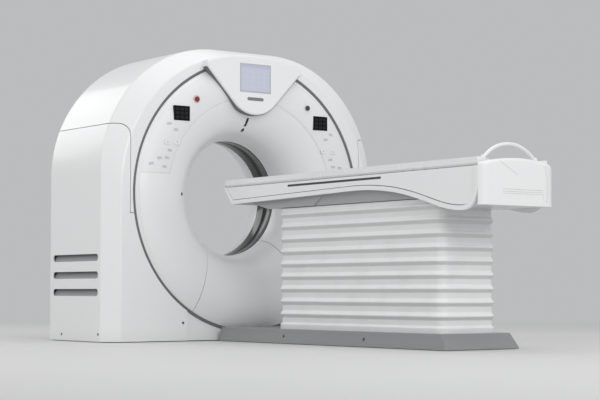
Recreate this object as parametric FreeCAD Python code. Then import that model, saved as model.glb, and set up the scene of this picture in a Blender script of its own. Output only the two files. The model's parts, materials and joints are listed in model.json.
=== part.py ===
"""Computed tomography scanner: the gantry with its rotating ring, and the patient couch.

Millimetres. The origin lies on the floor below the bore axis, in the plane of the round
seam of the front cover. +Y runs along the bore into the gantry, the couch reaches to -Y,
+X is to the right of someone who faces the gantry's front, and +Z is up.
"""

import FreeCAD, Part

import math
import os

Vector = FreeCAD.Vector
ALONG_X = Vector(1, 0, 0)
ALONG_Y = Vector(0, 1, 0)
ALONG_Z = Vector(0, 0, 1)

# ---------------------------------------------------------------- driving dimensions

# Bore and front cover: the gantry grows outwards from the bore, ring by ring
BORE_R = 390.0
WINDOW_WIDTH = 110.0
WINDOW_WALL = 6.0
FRONT_THROAT_Y = 290.0
FRONT_THROAT_LAND = 22.0
FRONT_FLARE_WIDTH = 360.0
FRONT_RIM_WIDTH = 134.0
FRONT_CREST_Y = -32.0
FRONT_LIP_CURVE = 280.0
FRONT_RIM_CURVE = 262.0
COVER_WALL = 7.0
SEAL_WIDTH = 20.0
SEAL_DEPTH = 30.0
SEAL_INSET = 3.0

# Rear cover
REAR_RIM_STEP = 24.0
REAR_RIM_WIDTH = 140.0
REAR_LIP_CURVE = 520.0
REAR_RIM_CURVE = 900.0
REAR_THROAT_LAND = 20.0
REAR_PROUD = 8.0

# Housing: an arch that grows from the face outline to the body outline
RING_FLOOR_GAP = 50.0
FACE_SIDE_LAND = 86.0
FACE_TOP_LAND = 31.0
FACE_CROWN_HALF = 60.0
BODY_SIDE_STEP = 95.0
BODY_TOP_STEP = 41.0
BODY_CROWN_HALF = 235.0
BODY_DEPTH = 850.0
FACE_CHAMFER = 90.0
REAR_ROUND = 120.0
HOUSING_WALL = 8.0
SEAM_GAP = 4.0
FLOOR_GAP = 5.0
SIDE_SEAM_RISE = 436.0
SIDE_SEAM_LEG = 18.0
SIDE_SEAM_ROUND = 60.0
SIDE_SEAM_FOOT_DROP = 134.0
PLINTH_SHARE = 0.554
PLINTH_RISE = 170.0
PLINTH_RECESS = 12.0
LOUVRE_TOPS = (560.0, 449.0, 338.0)
LOUVRE_HEIGHT = 45.0
LOUVRE_FRONT_Y = 120.0
LOUVRE_REAR_Y = 720.0
LOUVRE_VANE = 4.0
LOUVRE_LAP = 6.0
SCREW_R = 9.0
SCREW_HEAD = 3.0
SIDE_SCREW_Z = 44.0
SIDE_SCREW_FRONT_Z = 52.0
SIDE_SCREW_INSET = 25.0
SIDE_SCREW_DEPTH_SHARE = 0.70
FACE_SCREW_INSET = 35.0
FACE_SCREW_Z = 120.0

# Lower front cover: the seam runs from the bore out and down
LOWER_SEAM_ANGLE = 46.7
LOWER_SEAM_SLOPE = 0.378

# Operator console and controls on the front cover. Shares are of the round seam's radius,
# across from the bore axis and up from it
CONSOLE_TIP_INSET = 343.0
CONSOLE_TIP_R = 223.0
CONSOLE_SIDE_ANGLE = 46.7
CONSOLE_HALF = 378.0
CONSOLE_PROUD = 60.0
CONSOLE_ROUND = 12.0
SCREEN_WIDTH = 250.0
SCREEN_HEIGHT = 192.0
SCREEN_RISE = 148.0
SCREEN_THICK = 5.0
SCREEN_PROUD = 1.0
PANEL_WIDTH = 208.0
PANEL_RIM_GAP = 26.0
PANEL_FOOT_RISE = 121.0
PANEL_THICK = 1.5
PANEL_CONSOLE_GAP = 10.0
DISPLAY_SHARE = (0.634, 0.588)
DISPLAY_WIDTH = 120.0
DISPLAY_HEIGHT = 96.0
DISPLAY_THICK = 16.0
DISPLAY_PROUD = 4.0
STOP_SHARE = (0.507, 0.699)
STOP_CAP_R = 17.0
STOP_CAP_THICK = 8.0
STOP_CAP_CHAMFER = 2.5
STOP_REST_GAP = 0.5
STOP_STEM_R = 8.0
STOP_TRAVEL = 4.0
STOP_LENGTH = 40.0
KEY_WIDTH = 46.0
KEY_HEIGHT = 34.0
KEY_LENGTH = 14.0
KEY_PROUD = 3.5
KEY_CORNER_R = 6.0
KEY_SHARE = (0.67, 0.372)
KEY_PITCH_X = 76.0
KEY_CLEARANCE = 0.4
LASER_R = 6.0
LASER_SIDE_STEP = 128.0
LASER_TOP_STEP = 62.0
LASER_PROUD = 0.8
SLIT_STEP = 90.0
SLIT_LENGTH = 43.0
SLIT_HALF = 4.5

# Floor frame, stationary frame and bearing
BASE_PLATE = 25.0
BASE_RIB_HEIGHT = 60.0
BASE_RIB_WIDTH = 50.0
BASE_PAD_LEAD = 20.0
BASE_HOLE_INSET = 257.0
BASE_HOLE_END = 50.0
ANCHOR_HOLE_R = 9.0
FRAME_FRONT_Y = 520.0
FRAME_THICK = 50.0
FRAME_INSET = 45.0
FRAME_FOOT_INSET = 70.0
FRAME_WAIST = 20.0
FRAME_SHELF = 90.0
FRAME_SHELF_THICK = 30.0
FRAME_RIB_INNER = 60.0
FRAME_RIB_WIDTH = 30.0
FRAME_RIB_HEIGHT = 40.0
MOTOR_EAR = 15.0
MOTOR_EAR_THICK = 30.0
MOTOR_WEB_HALF = 90.0
MOTOR_WEB_REACH = 150.0
RACE_STEP = 40.0
RACE_INNER_WIDTH = 65.0
RACE_OUTER_WIDTH = 65.0
RUNNING_GAP = 0.3

# Rotating ring
DRUM_INSET = 69.0
DRUM_BORE_GAP = 16.0
DRUM_FRONT_Y = 440.0
DRUM_THICK = 30.0
DRUM_RIM = 20.0
DRUM_RIM_WIDTH = 60.0
DRUM_HOLE_R = 48.0
DRUM_HOLES = 8
SLIP_GAP = 40.0
SLIP_INSET = 65.0
SLIP_THICK = 16.0
SLIP_TRACKS = 3
SLIP_GROOVE_HALF = 3.0
SLIP_GROOVE_DEPTH = 5.0
TUBE_R = 105.0
TUBE_LENGTH = 230.0
TUBE_END_R = 72.0
TUBE_END_LENGTH = 40.0
COLLIMATOR_HALF = 90.0
COLLIMATOR_LENGTH = 140.0
COLLIMATOR_GAP = 5.0
COLLIMATOR_HEIGHT = 60.0
DETECTOR_THICK = 60.0
DETECTOR_HALF_ANGLE = 25.0
DETECTOR_LENGTH = 140.0
MODULES = 12
MODULE_WIDTH = 58.0
MODULE_DEPTH = 36.0
MODULE_LENGTH = 120.0
GENERATOR_GAP = 5.0
GENERATOR_INSET = 60.0
GENERATOR_HALF = 165.0
GENERATOR_LENGTH = 225.0
GENERATOR_LID = 40.0
GENERATOR_LID_STEP = 25.0
COOLER_ANGLE = 145.0
COOLER_FINS = 9
COOLER_INSET = 95.0
COOLER_SIDE = 190.0
COOLER_LENGTH = 200.0
COOLER_FIN_HEIGHT = 40.0
COOLER_FIN_THICK = 6.0
WEIGHT_ANGLE = 196.0
WEIGHT_HALF_ANGLE = 22.0
WEIGHT_LENGTH = 105.0

# Rotor drive and fan
MOTOR_SIDE_GAP = 285.0
MOTOR_Z = 250.0
MOTOR_R = 95.0
MOTOR_REAR_GAP = 80.0
TERMINAL_SHARE = (0.18, 0.64)
TERMINAL_HALF = 45.0
TERMINAL_HEIGHT = 35.0
PULLEY_R = 60.0
PULLEY_WIDTH = 44.0
PULLEY_SHAFT_R = 14.0
SHAFT_CLEARANCE = 0.05
BELT_THICK = 6.0
BELT_WIDTH = 36.0
FAN_SIDE_GAP = 185.0
FAN_Y = 320.0
FAN_Z = 400.0
FAN_R = 110.0
FAN_SIDE = 260.0
FAN_DEPTH = 60.0
FAN_BLADES = 7
FAN_HUB_R = 32.0
FAN_HUB_LENGTH = 36.0
FAN_HUB_STEP = 10.0
FAN_PIN_R = 8.0
FAN_SHROUD_GAP = 6.0
FAN_ARM_THICK = 8.0
FAN_ARM_HALF = 12.0
FAN_FOOT_HALF = 60.0
FAN_BLADE_THICK = 3.0
FAN_BLADE_WIDTH = 44.0
FAN_BLADE_PITCH = 52.0

# Couch: floor part and lift
COUCH_BASE_HALF = 200.0
COUCH_BASE_PLATE = 12.0
COUCH_BASE_END_Y = -2180.0
COUCH_RAIL_HEIGHT = 78.0
COUCH_RAIL_WALL = 8.0
COUCH_RAIL_END = 20.0
COUCH_BRACKET_HALF = 40.0
COUCH_TRACK_WIDTH = 24.0
COUCH_TRACK_LAP = 2.0
COUCH_TRACK_LEAD = 60.0
COUCH_TRACK_TAIL = 30.0
COUCH_ANCHOR_X = 165.0
COUCH_ANCHOR_END = 40.0
SKIRT_HALF = 275.0
SKIRT_HEIGHT = 90.0
SKIRT_END_Y = -2262.0
SKIRT_FRONT_Y = -50.0
SKIRT_SLANT = 58.0
SKIRT_LEAN = 16.0
SKIRT_TOE = 8.0
SKIRT_WALL = 6.0
BELLOWS_FRONT_Y = -600.0
BELLOWS_REAR_Y = -2160.0
BELLOWS_HALF = 212.0
BELLOWS_CORNER_R = 62.0
BELLOWS_FOLDS = 9
BELLOWS_FOLD_DEPTH = 16.0
BELLOWS_COLLAR = 36.0
BELLOWS_WALL = 6.0
PLATFORM_Z = 840.0
ARM_LENGTH = 1250.0
ARM_HEIGHT = 36.0
ARM_THICK = 20.0
OUTER_ARM_X = 153.0
INNER_ARM_X = 126.0
ARM_SHAFT_R = 12.0
ROLLER_R = 22.0
ROLLER_WIDTH = 16.0
PIVOT_Y = -2000.0
LOWER_PIVOT_Z = 60.0
UPPER_PIVOT_DROP = 55.0
ARM_SLACK = 11.0
COLUMN_Y = -1720.0
CYLINDER_R = 58.0
COLUMN_WALL = 6.0
COLUMN_CLEARANCE = 0.3
CYLINDER_LENGTH = 320.0
MID_STAGE_BOTTOM_Z = 300.0
MID_STAGE_LENGTH = 310.0
RAM_LENGTH = 265.0
PUMP_ROLLER_GAP = 206.0
PUMP_HALF = 60.0
PUMP_LENGTH = 140.0
PUMP_HEIGHT = 108.0
PUMP_AXIS_Z = 70.0
PUMP_MOTOR_R = 42.0
PUMP_MOTOR_LENGTH = 100.0
TANK_R = 50.0
TANK_LENGTH = 95.0
PLATFORM_END = 45.0
PLATFORM_PLATE = 10.0
STRINGER_X = 120.0
STRINGER_WALL = 8.0
CHANNEL_END = 30.0

# Couch: top
COUCH_HALF = 270.0
COUCH_TIP_Y = -45.0
COUCH_NOSE_Y = -176.0
COUCH_END_Y = -2565.0
COUCH_PANEL_END_Y = -2515.0
PANEL_WALL = 12.0
BEAD_PROUD = 8.0
BEAD_WIDTH = 26.0
BEAD_LINE = 4.0
BEAD_LINE_DEPTH = 3.0
NOSE_Z = 885.0
CREST_Z = 912.0
CREST_Y = -1450.0
FOOT_Z = 761.0
FOOT_Y = -2391.0
FOOT_ROUND = 124.0
CREST_PULL = 550.0
FOOT_PULL = 241.0
DECK_Z = 997.0
CRADLE_Z = 1000.0
CRADLE_TOP_Z = 1045.0
CRADLE_HALF = 262.0
CRADLE_REAR_Y = -2505.0
CRADLE_TROUGH = 23.0
CRADLE_RIM = 22.0
CRADLE_CHAMFER = 12.0
CRADLE_NOSE_R = 45.0
RUNNER_LENGTH = 595.0
RUNNER_END = 25.0
GROOVE_FRONT_Y = -784.0
GROOVE_REAR_Y = -1694.0
GROOVE_Z = 975.0
GROOVE_HEIGHT = 13.0
GROOVE_DEPTH = 7.0
COUCH_BEAM_Z = 915.0
COUCH_BEAM_SHEET = 6.0
COUCH_BEAM_TOP_GAP = 6.0
COUCH_BEAM_NOSE_GAP = 64.0
COUCH_DROP_GAP = 12.0
RAIL_X = 150.0
RAIL_WIDTH = 20.0
RAIL_TOP_Z = 985.0
UNDER_COVER_Z = 845.0
UNDER_COVER_HALF = 215.0
UNDER_COVER_WALL = 6.0
UNDER_COVER_REACH = 480.0
UNDER_COVER_BELLY = 20.0
UNDER_COVER_SLANT = 95.0
UNDER_COVER_LEAD = 150.0
RISER_HALF = 205.0
RISER_WALL = 6.0
NOSE_ROOM_LENGTH = 90.0
NOSE_WALL = 16.0
END_CORNER_X = 90.0
END_ROUND = 20.0
END_FLOOR_Z = 785.0
END_CROWN_Z = 1044.0
END_SHOULDER_Z = 1012.0
END_WALL = 6.0
GRIP_LEFT_X = -130.0
GRIP_RIGHT_X = 170.0
GRIP_LOW_Z = 812.0
GRIP_HIGH_Z = 850.0
GRIP_DEPTH = 4.0
HOOP_HALF = 195.0
HOOP_RISE = 86.0
HOOP_R = 10.0
HOOP_FOOT_R = 13.0
HOOP_FOOT_LENGTH = 34.0
HOOP_FOOT_SUNK = 20.0
HOOP_Y = -2478.0

# Cradle drive, along the middle of the couch
DRIVE_END = 150.0
DRIVE_NOSE_GAP = 120.0
TRACK_HALF = 30.0
TRACK_HEIGHT = 14.0
GEAR_HALF = 42.0
GEAR_LENGTH = 80.0
GEAR_HEIGHT = 52.0
GEAR_MOTOR_R = 26.0
GEAR_MOTOR_LENGTH = 120.0
CRADLE_BELT_HALF = 12.0
CRADLE_BELT_HEIGHT = 30.0

# ---------------------------------------------------------------- derived places

FRONT_CREST_R = BORE_R + FRONT_FLARE_WIDTH
SEAL_R = FRONT_CREST_R + FRONT_RIM_WIDTH
FACE_OPENING_R = SEAL_R + SEAL_WIDTH
AXIS_HEIGHT = FACE_OPENING_R + RING_FLOOR_GAP
AXIS_POINT = Vector(0, 0, AXIS_HEIGHT)
REAR_RIM_R = SEAL_R - REAR_RIM_STEP
REAR_CREST_R = REAR_RIM_R - REAR_RIM_WIDTH
REAR_THROAT_Y = FRONT_THROAT_Y + WINDOW_WIDTH
FACE_HALF = FACE_OPENING_R + FACE_SIDE_LAND
FACE_TOP = AXIS_HEIGHT + FACE_OPENING_R + FACE_TOP_LAND
FACE_CORNER_R = FACE_HALF - FACE_CROWN_HALF
BODY_HALF = FACE_HALF + BODY_SIDE_STEP
BODY_TOP = FACE_TOP + BODY_TOP_STEP
BODY_CORNER_R = BODY_HALF - BODY_CROWN_HALF
SIDE_SEAM_X = FACE_OPENING_R + SIDE_SEAM_LEG
SIDE_SEAM_Z = AXIS_HEIGHT + SIDE_SEAM_RISE
SIDE_SEAM_FOOT_Z = AXIS_HEIGHT - SIDE_SEAM_FOOT_DROP
PLINTH_HALF = round(PLINTH_SHARE * SEAL_R)
PLINTH_TOP_Z = RING_FLOOR_GAP + PLINTH_RISE
LOWER_SEAM_X = BORE_R * math.cos(math.radians(LOWER_SEAM_ANGLE))
LOWER_SEAM_Z = AXIS_HEIGHT - BORE_R * math.sin(math.radians(LOWER_SEAM_ANGLE))
CONSOLE_TIP_Z = AXIS_HEIGHT + SEAL_R - CONSOLE_TIP_INSET
SCREEN_BOTTOM_Z = CONSOLE_TIP_Z + SCREEN_RISE
PANEL_OUTER_R = SEAL_R - PANEL_RIM_GAP
PANEL_INNER_R = PANEL_OUTER_R - PANEL_WIDTH
PANEL_FOOT_Z = AXIS_HEIGHT + PANEL_FOOT_RISE
DISPLAY_X = DISPLAY_SHARE[0] * SEAL_R
DISPLAY_Z = AXIS_HEIGHT + DISPLAY_SHARE[1] * SEAL_R
STOP_X = STOP_SHARE[0] * SEAL_R
STOP_Z = AXIS_HEIGHT + STOP_SHARE[1] * SEAL_R
KEY_INNER_X = KEY_SHARE[0] * SEAL_R
KEY_Z = AXIS_HEIGHT + KEY_SHARE[1] * SEAL_R
BASE_HALF = BODY_HALF - HOUSING_WALL
BASE_FRONT_Y = FACE_CHAMFER
BASE_REAR_Y = BODY_DEPTH - REAR_ROUND
LASER_SIDE_R = BORE_R + LASER_SIDE_STEP
LASER_TOP_R = BORE_R + LASER_TOP_STEP
SLIT_INNER_R = BORE_R + SLIT_STEP
RACE_INNER_R = BORE_R + RACE_STEP
RACE_SPLIT_R = RACE_INNER_R + RACE_INNER_WIDTH
FRAME_BORE_R = RACE_SPLIT_R + RACE_OUTER_WIDTH
TUBE_RADIUS = RACE_INNER_R + COLLIMATOR_GAP + COLLIMATOR_HEIGHT + TUBE_R
DETECTOR_DISTANCE = TUBE_RADIUS + RACE_INNER_R
DRUM_R = SEAL_R - DRUM_INSET
DRUM_BORE_R = BORE_R + WINDOW_WALL + DRUM_BORE_GAP
SLIP_INNER_R = FRAME_BORE_R + SLIP_GAP
SLIP_OUTER_R = DRUM_R - SLIP_INSET
FRAME_R = DRUM_R - FRAME_INSET
FRAME_FOOT_HALF = FRAME_R - FRAME_FOOT_INSET
GENERATOR_INNER_X = RACE_SPLIT_R + GENERATOR_GAP
GENERATOR_OUTER_X = DRUM_R - GENERATOR_INSET
MOTOR_X = BODY_HALF - MOTOR_SIDE_GAP
MOTOR_LENGTH = BODY_DEPTH - MOTOR_REAR_GAP - FRAME_FRONT_Y - MOTOR_EAR_THICK
FAN_X = FAN_SIDE_GAP - BODY_HALF
DRUM_REAR_Y = DRUM_FRONT_Y + DRUM_THICK
FRAME_REAR_Y = FRAME_FRONT_Y + FRAME_THICK
PIVOT_RISE = PLATFORM_Z - UPPER_PIVOT_DROP - LOWER_PIVOT_Z
ARM_ANGLE = math.degrees(math.asin(PIVOT_RISE / ARM_LENGTH))
ARM_SPAN = ARM_LENGTH * math.cos(math.radians(ARM_ANGLE))
UPPER_PIVOT_Z = LOWER_PIVOT_Z + PIVOT_RISE
PUMP_Y = PIVOT_Y + ARM_SPAN - PUMP_ROLLER_GAP
PANEL_INNER_X = COUCH_HALF - BEAD_PROUD - PANEL_WALL
BEAM_FRONT_Y = COUCH_NOSE_Y - COUCH_BEAM_NOSE_GAP
DROP_FRONT_Y = BELLOWS_REAR_Y - COUCH_DROP_GAP
LIFT_ROOM_HALF = BELLOWS_HALF - BELLOWS_FOLD_DEPTH - BELLOWS_WALL
NOSE_SLOPE = (COUCH_TIP_Y - COUCH_NOSE_Y) / (CRADLE_TOP_Z - NOSE_Z)
DECK_TIP_Y = COUCH_TIP_Y - (CRADLE_TOP_Z - DECK_Z) * NOSE_SLOPE


# ---------------------------------------------------------------- basic shapes

def box(x_range, y_range, z_range):
    """A block between two limits along each axis."""
    size = [high - low for low, high in (x_range, y_range, z_range)]
    return Part.makeBox(*size, Vector(x_range[0], y_range[0], z_range[0]))


def cylinder_y(radius, y_from, y_to, x=0.0, z=AXIS_HEIGHT):
    """A round bar along Y, on the bore axis unless x and z say otherwise."""
    return Part.makeCylinder(radius, y_to - y_from, Vector(x, y_from, z), ALONG_Y)


def ring_y(inner_r, outer_r, y_from, y_to):
    """A flat ring about the bore axis."""
    return cylinder_y(outer_r, y_from, y_to).cut(cylinder_y(inner_r, y_from - 1, y_to + 1))


def bar_x(radius, x_range, y, z):
    """A round bar along X."""
    return Part.makeCylinder(radius, x_range[1] - x_range[0], Vector(x_range[0], y, z), ALONG_X)


def edges_through(points):
    """Edges for a path whose steps are a point, or a pair (point on an arc, end of the arc)."""
    edges = []
    here = points[0]
    for step in points[1:]:
        if isinstance(step, tuple):
            edges.append(Part.Arc(here, step[0], step[1]).toShape())
            here = step[1]
        elif not here.isEqual(step, 1e-6):
            edges.append(Part.LineSegment(here, step).toShape())
            here = step
    return edges


def face_of(points):
    """A flat face inside a closed path of points and arcs."""
    return Part.Face(Part.Wire(edges_through(points + [points[0]])))


def prism_y(points, y_from, y_to):
    """A path of (x, z) pairs, or arcs of two such pairs, extruded along Y."""
    def place(step):
        if isinstance(step[0], tuple):
            return tuple(Vector(x, y_from, z) for x, z in step)
        return Vector(step[0], y_from, step[1])
    return face_of([place(step) for step in points]).extrude(Vector(0, y_to - y_from, 0))


def prism_x(points, x_from, x_to):
    """A path of (y, z) pairs, or arcs of two such pairs, extruded along X."""
    def place(step):
        if isinstance(step[0], tuple):
            return tuple(Vector(x_from, y, z) for y, z in step)
        return Vector(x_from, step[0], step[1])
    return face_of([place(step) for step in points]).extrude(Vector(x_to - x_from, 0, 0))


def turned(points):
    """A closed path of (radius, y) pairs, or arcs of two such pairs, revolved about the bore."""
    def place(step):
        if isinstance(step[0], tuple):
            return tuple(Vector(r, y, AXIS_HEIGHT) for r, y in step)
        return Vector(step[0], step[1], AXIS_HEIGHT)
    return face_of([place(step) for step in points]).revolve(AXIS_POINT, ALONG_Y, 360)


def round_slot_x(x_range, y_range, z_range):
    """A slot along Y with round ends, cut through along X."""
    r = (z_range[1] - z_range[0]) / 2
    middle = z_range[0] + r
    low_y, high_y = y_range
    path = [(low_y + r, z_range[0]), (high_y - r, z_range[0]),
            ((high_y, middle), (high_y - r, z_range[1])), (low_y + r, z_range[1]),
            ((low_y, middle), (low_y + r, z_range[0]))]
    return prism_x(path, *x_range)


def mirror_x(shape):
    """The same shape on the other side of the machine."""
    return shape.mirror(Vector(0, 0, 0), ALONG_X)


def side_span(side, inner, outer):
    """The x range between two distances from the middle, on one side of the machine."""
    return (inner, outer) if side > 0 else (-outer, -inner)


def about_bore(shape, degrees):
    """A shape turned about the bore axis, from 3 o'clock towards 12."""
    turned_shape = shape.copy()
    turned_shape.rotate(AXIS_POINT, ALONG_Y, -degrees)
    return turned_shape


def joined(shapes):
    """One solid made of touching or crossing solids."""
    return shapes[0].multiFuse(shapes[1:]).removeSplitter()


def without(shape, *tools):
    """A shape with each tool cut away."""
    for tool in tools:
        shape = shape.cut(tool)
    return shape


# ---------------------------------------------------------------- front and rear covers

def flare(crest, throat, throat_curve, inset):
    """Crest, middle, tangent, middle and throat points (radius, depth) of a two-arc flare.

    Depth runs into the bore. The first arc leaves the crest flat, the second meets the
    throat parallel to the bore, and inset moves both arcs into the material."""
    reach = crest[0] - throat[0]
    depth = throat[1] - crest[1]
    crest_curve = (reach ** 2 - 2 * reach * throat_curve + depth ** 2) / (2 * (depth - throat_curve))
    first = (crest[0], crest[1] + crest_curve)
    second = (throat[0] + throat_curve, throat[1])
    away = (first[0] - second[0], first[1] - second[1])
    sign = 1 if throat_curve > crest_curve else -1
    turn = math.atan2(sign * away[1], sign * away[0])

    def on(centre, radius, angle):
        return (centre[0] + (radius - inset) * math.cos(angle),
                centre[1] + (radius - inset) * math.sin(angle))

    if turn > 0:
        turn -= 2 * math.pi
    crest_angle, throat_angle = -math.pi / 2, -math.pi
    return (on(first, crest_curve, crest_angle),
            on(first, crest_curve, (crest_angle + turn) / 2),
            on(first, crest_curve, turn),
            on(second, throat_curve, (turn + throat_angle) / 2),
            on(second, throat_curve, throat_angle))


def front_flare(inset):
    """The front cover's flare, each point as (radius, y)."""
    crest = (FRONT_CREST_R, FRONT_CREST_Y)
    throat = (BORE_R, FRONT_THROAT_Y - FRONT_THROAT_LAND)
    return flare(crest, throat, FRONT_LIP_CURVE, inset)


def front_rim(radius, inset):
    """The y of the front cover's rolled rim at a radius outside the crest."""
    curve = FRONT_RIM_CURVE - inset
    return FRONT_CREST_Y + FRONT_RIM_CURVE - math.sqrt(curve ** 2 - (radius - FRONT_CREST_R) ** 2)


def dish_skin(inset_front, inset_back):
    """The dished front cover between two depths below its visible surface."""
    outer = front_flare(inset_front)
    inner = front_flare(inset_back)
    rim_outer = SEAL_R
    rim_inner = SEAL_R - COVER_WALL
    half_rim = (FRONT_CREST_R + SEAL_R) / 2
    back = SEAL_DEPTH if inset_back > 0 else front_rim(rim_inner, inset_back) + 1
    path = [(rim_outer, front_rim(rim_outer, inset_front)),
            ((half_rim, front_rim(half_rim, inset_front)), outer[0]),
            (outer[1], outer[2]), (outer[3], outer[4]),
            (BORE_R + inset_front, FRONT_THROAT_Y), (BORE_R + inset_back, FRONT_THROAT_Y),
            inner[4], (inner[3], inner[2]), (inner[1], inner[0]),
            ((half_rim, front_rim(half_rim, inset_back)),
             (rim_inner, front_rim(rim_inner, inset_back))),
            (rim_inner, back), (rim_outer, back)]
    return turned(path)


def dish_solid():
    """Everything behind the front cover's visible surface, up to its flange."""
    outer = front_flare(0.0)
    half_rim = (FRONT_CREST_R + SEAL_R) / 2
    path = [(SEAL_R, front_rim(SEAL_R, 0.0)),
            ((half_rim, front_rim(half_rim, 0.0)), outer[0]),
            (outer[1], outer[2]), (outer[3], outer[4]),
            (BORE_R, FRONT_THROAT_Y), (SEAL_R, FRONT_THROAT_Y)]
    return turned(path)


def surface_at(radius):
    """The y of the front cover's visible surface at a radius inside the crest."""
    reach = FRONT_CREST_R - BORE_R
    depth = FRONT_THROAT_Y - FRONT_THROAT_LAND - FRONT_CREST_Y
    curve = (reach ** 2 - 2 * reach * FRONT_LIP_CURVE + depth ** 2) / (2 * (depth - FRONT_LIP_CURVE))
    throat_centre_r = BORE_R + FRONT_LIP_CURVE
    on_lip = FRONT_LIP_CURVE ** 2 - (throat_centre_r - radius) ** 2
    on_crest = curve ** 2 - (FRONT_CREST_R - radius) ** 2
    tangent_r = front_flare(0.0)[2][0]
    if radius < tangent_r:
        return FRONT_THROAT_Y - FRONT_THROAT_LAND - math.sqrt(on_lip)
    return FRONT_CREST_Y + curve - math.sqrt(on_crest)


def lower_cover_wedge(gap):
    """The space below the two slanted seams of the front cover, set in by a gap."""
    top = LOWER_SEAM_X - gap
    foot = top + LOWER_SEAM_Z * LOWER_SEAM_SLOPE
    path = [(-top, LOWER_SEAM_Z), (top, LOWER_SEAM_Z), (foot, 0.0), (-foot, 0.0)]
    return prism_y(path, FRONT_CREST_Y - 20, FRONT_THROAT_Y + 20)


def front_openings():
    """Holes in the front cover for the controls, the displays and the laser windows."""
    holes = [display_block(side, KEY_CLEARANCE) for side in (-1, 1)]
    holes += [cylinder_y(STOP_STEM_R + KEY_CLEARANCE, FRONT_CREST_Y - CONSOLE_PROUD, FRONT_THROAT_Y,
                         side * STOP_X, STOP_Z) for side in (-1, 1)]
    holes += [key_block(side, place, KEY_CLEARANCE) for side in (-1, 1) for place in (0, 1)]
    holes += laser_pins() + [laser_slit()]
    return holes


def front_cover():
    cover = dish_skin(0.0, COVER_WALL).cut(lower_cover_wedge(-SEAM_GAP / 2))
    return without(cover, *front_openings())


def lower_front_cover():
    return dish_skin(0.0, COVER_WALL).common(lower_cover_wedge(SEAM_GAP / 2))


def front_seal_ring():
    return ring_y(SEAL_R, FACE_OPENING_R, SEAL_INSET, SEAL_DEPTH)


def scan_window_ring():
    return ring_y(BORE_R, BORE_R + WINDOW_WALL, FRONT_THROAT_Y, REAR_THROAT_Y)


def rear_cover():
    """A dished cover whose flare faces backwards, so its depth is counted from the rear."""
    rear = BODY_DEPTH + REAR_PROUD
    crest = (REAR_CREST_R, 0.0)
    throat = (BORE_R, rear - REAR_THROAT_Y - REAR_THROAT_LAND)

    def skin(inset):
        return [(r, rear - depth) for r, depth in flare(crest, throat, REAR_LIP_CURVE, inset)]

    def rim(radius, inset):
        curve = REAR_RIM_CURVE - inset
        return rear - REAR_RIM_CURVE + math.sqrt(curve ** 2 - (radius - REAR_CREST_R) ** 2)

    outer, inner = skin(0.0), skin(COVER_WALL)
    half_rim = (REAR_CREST_R + REAR_RIM_R) / 2
    rim_inner = REAR_RIM_R - COVER_WALL
    flange = rear - SEAL_DEPTH
    path = [(REAR_RIM_R, rim(REAR_RIM_R, 0.0)),
            ((half_rim, rim(half_rim, 0.0)), outer[0]),
            (outer[1], outer[2]), (outer[3], outer[4]),
            (BORE_R, REAR_THROAT_Y), (BORE_R + COVER_WALL, REAR_THROAT_Y),
            inner[4], (inner[3], inner[2]), (inner[1], inner[0]),
            ((half_rim, rim(half_rim, COVER_WALL)), (rim_inner, rim(rim_inner, COVER_WALL))),
            (rim_inner, flange), (REAR_RIM_R, flange)]
    return turned(path)


# ---------------------------------------------------------------- housing covers

def arch(half, top, corner_r, foot, y):
    """The outline of the housing at a depth, as a closed wire."""
    centre_x = half - corner_r
    centre_z = top - corner_r
    diagonal = corner_r * math.sqrt(0.5)
    points = [Vector(-half, y, foot), Vector(-half, y, centre_z),
              (Vector(-centre_x - diagonal, y, centre_z + diagonal), Vector(-centre_x, y, top)),
              Vector(centre_x, y, top),
              (Vector(centre_x + diagonal, y, centre_z + diagonal), Vector(half, y, centre_z)),
              Vector(half, y, foot)]
    return Part.Wire(edges_through(points + [points[0]]))


def face_arch(inset, foot, y):
    return arch(FACE_HALF - inset, FACE_TOP - inset, FACE_CORNER_R - inset, foot, y)


def body_arch(inset, foot, y):
    return arch(BODY_HALF - inset, BODY_TOP - inset, BODY_CORNER_R - inset, foot, y)


def housing_form(inset, foot):
    """The whole housing as a solid, with its front chamfer and rounded rear edge."""
    front = Part.makeLoft([face_arch(inset, foot, inset), body_arch(inset, foot, FACE_CHAMFER)],
                          True, True)
    depth = BODY_DEPTH - inset - FACE_CHAMFER
    body = Part.Face(body_arch(inset, foot, FACE_CHAMFER)).extrude(Vector(0, depth, 0))
    rear_edges = [edge for edge in body.Edges
                  if edge.BoundBox.YMin > BODY_DEPTH - inset - 1 and edge.BoundBox.ZMax > foot + 1]
    return front.fuse(body.makeFillet(REAR_ROUND - inset, rear_edges))


def housing_shell():
    """The housing as a thin shell, open at the floor, the front circle and the rear."""
    shell = housing_form(0.0, FLOOR_GAP).cut(housing_form(HOUSING_WALL, -50.0))
    shell = shell.cut(cylinder_y(FACE_OPENING_R, -20, FACE_CHAMFER))
    return shell.cut(cylinder_y(REAR_RIM_R, BODY_DEPTH - 60, BODY_DEPTH + 60))


def side_region(gap):
    """The space of the left side cover, set in by a gap at its seams."""
    wide, low = -BODY_HALF - 50, -50.0
    top, front, round_r = SIDE_SEAM_Z - gap, -SIDE_SEAM_X - gap, SIDE_SEAM_ROUND
    inner = -PLINTH_HALF - gap
    foot = SIDE_SEAM_FOOT_Z - gap
    corner = round_r * (1 - math.sqrt(0.5))
    path = [(wide, low), (inner, low), (inner, foot), (front, foot), (front, top - round_r),
            ((front - corner, top - corner), (front - round_r, top)), (wide, top)]
    rear_wrap = box((inner - 1, -gap), (BODY_DEPTH / 2, BODY_DEPTH + 50), (low, foot))
    return prism_y(path, -50, BODY_DEPTH + 50).fuse(rear_wrap)


def louvre_slot(top):
    return round_slot_x((-BODY_HALF - 20, -BODY_HALF + 20), (LOUVRE_FRONT_Y, LOUVRE_REAR_Y),
                        (top - LOUVRE_HEIGHT, top))


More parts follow.
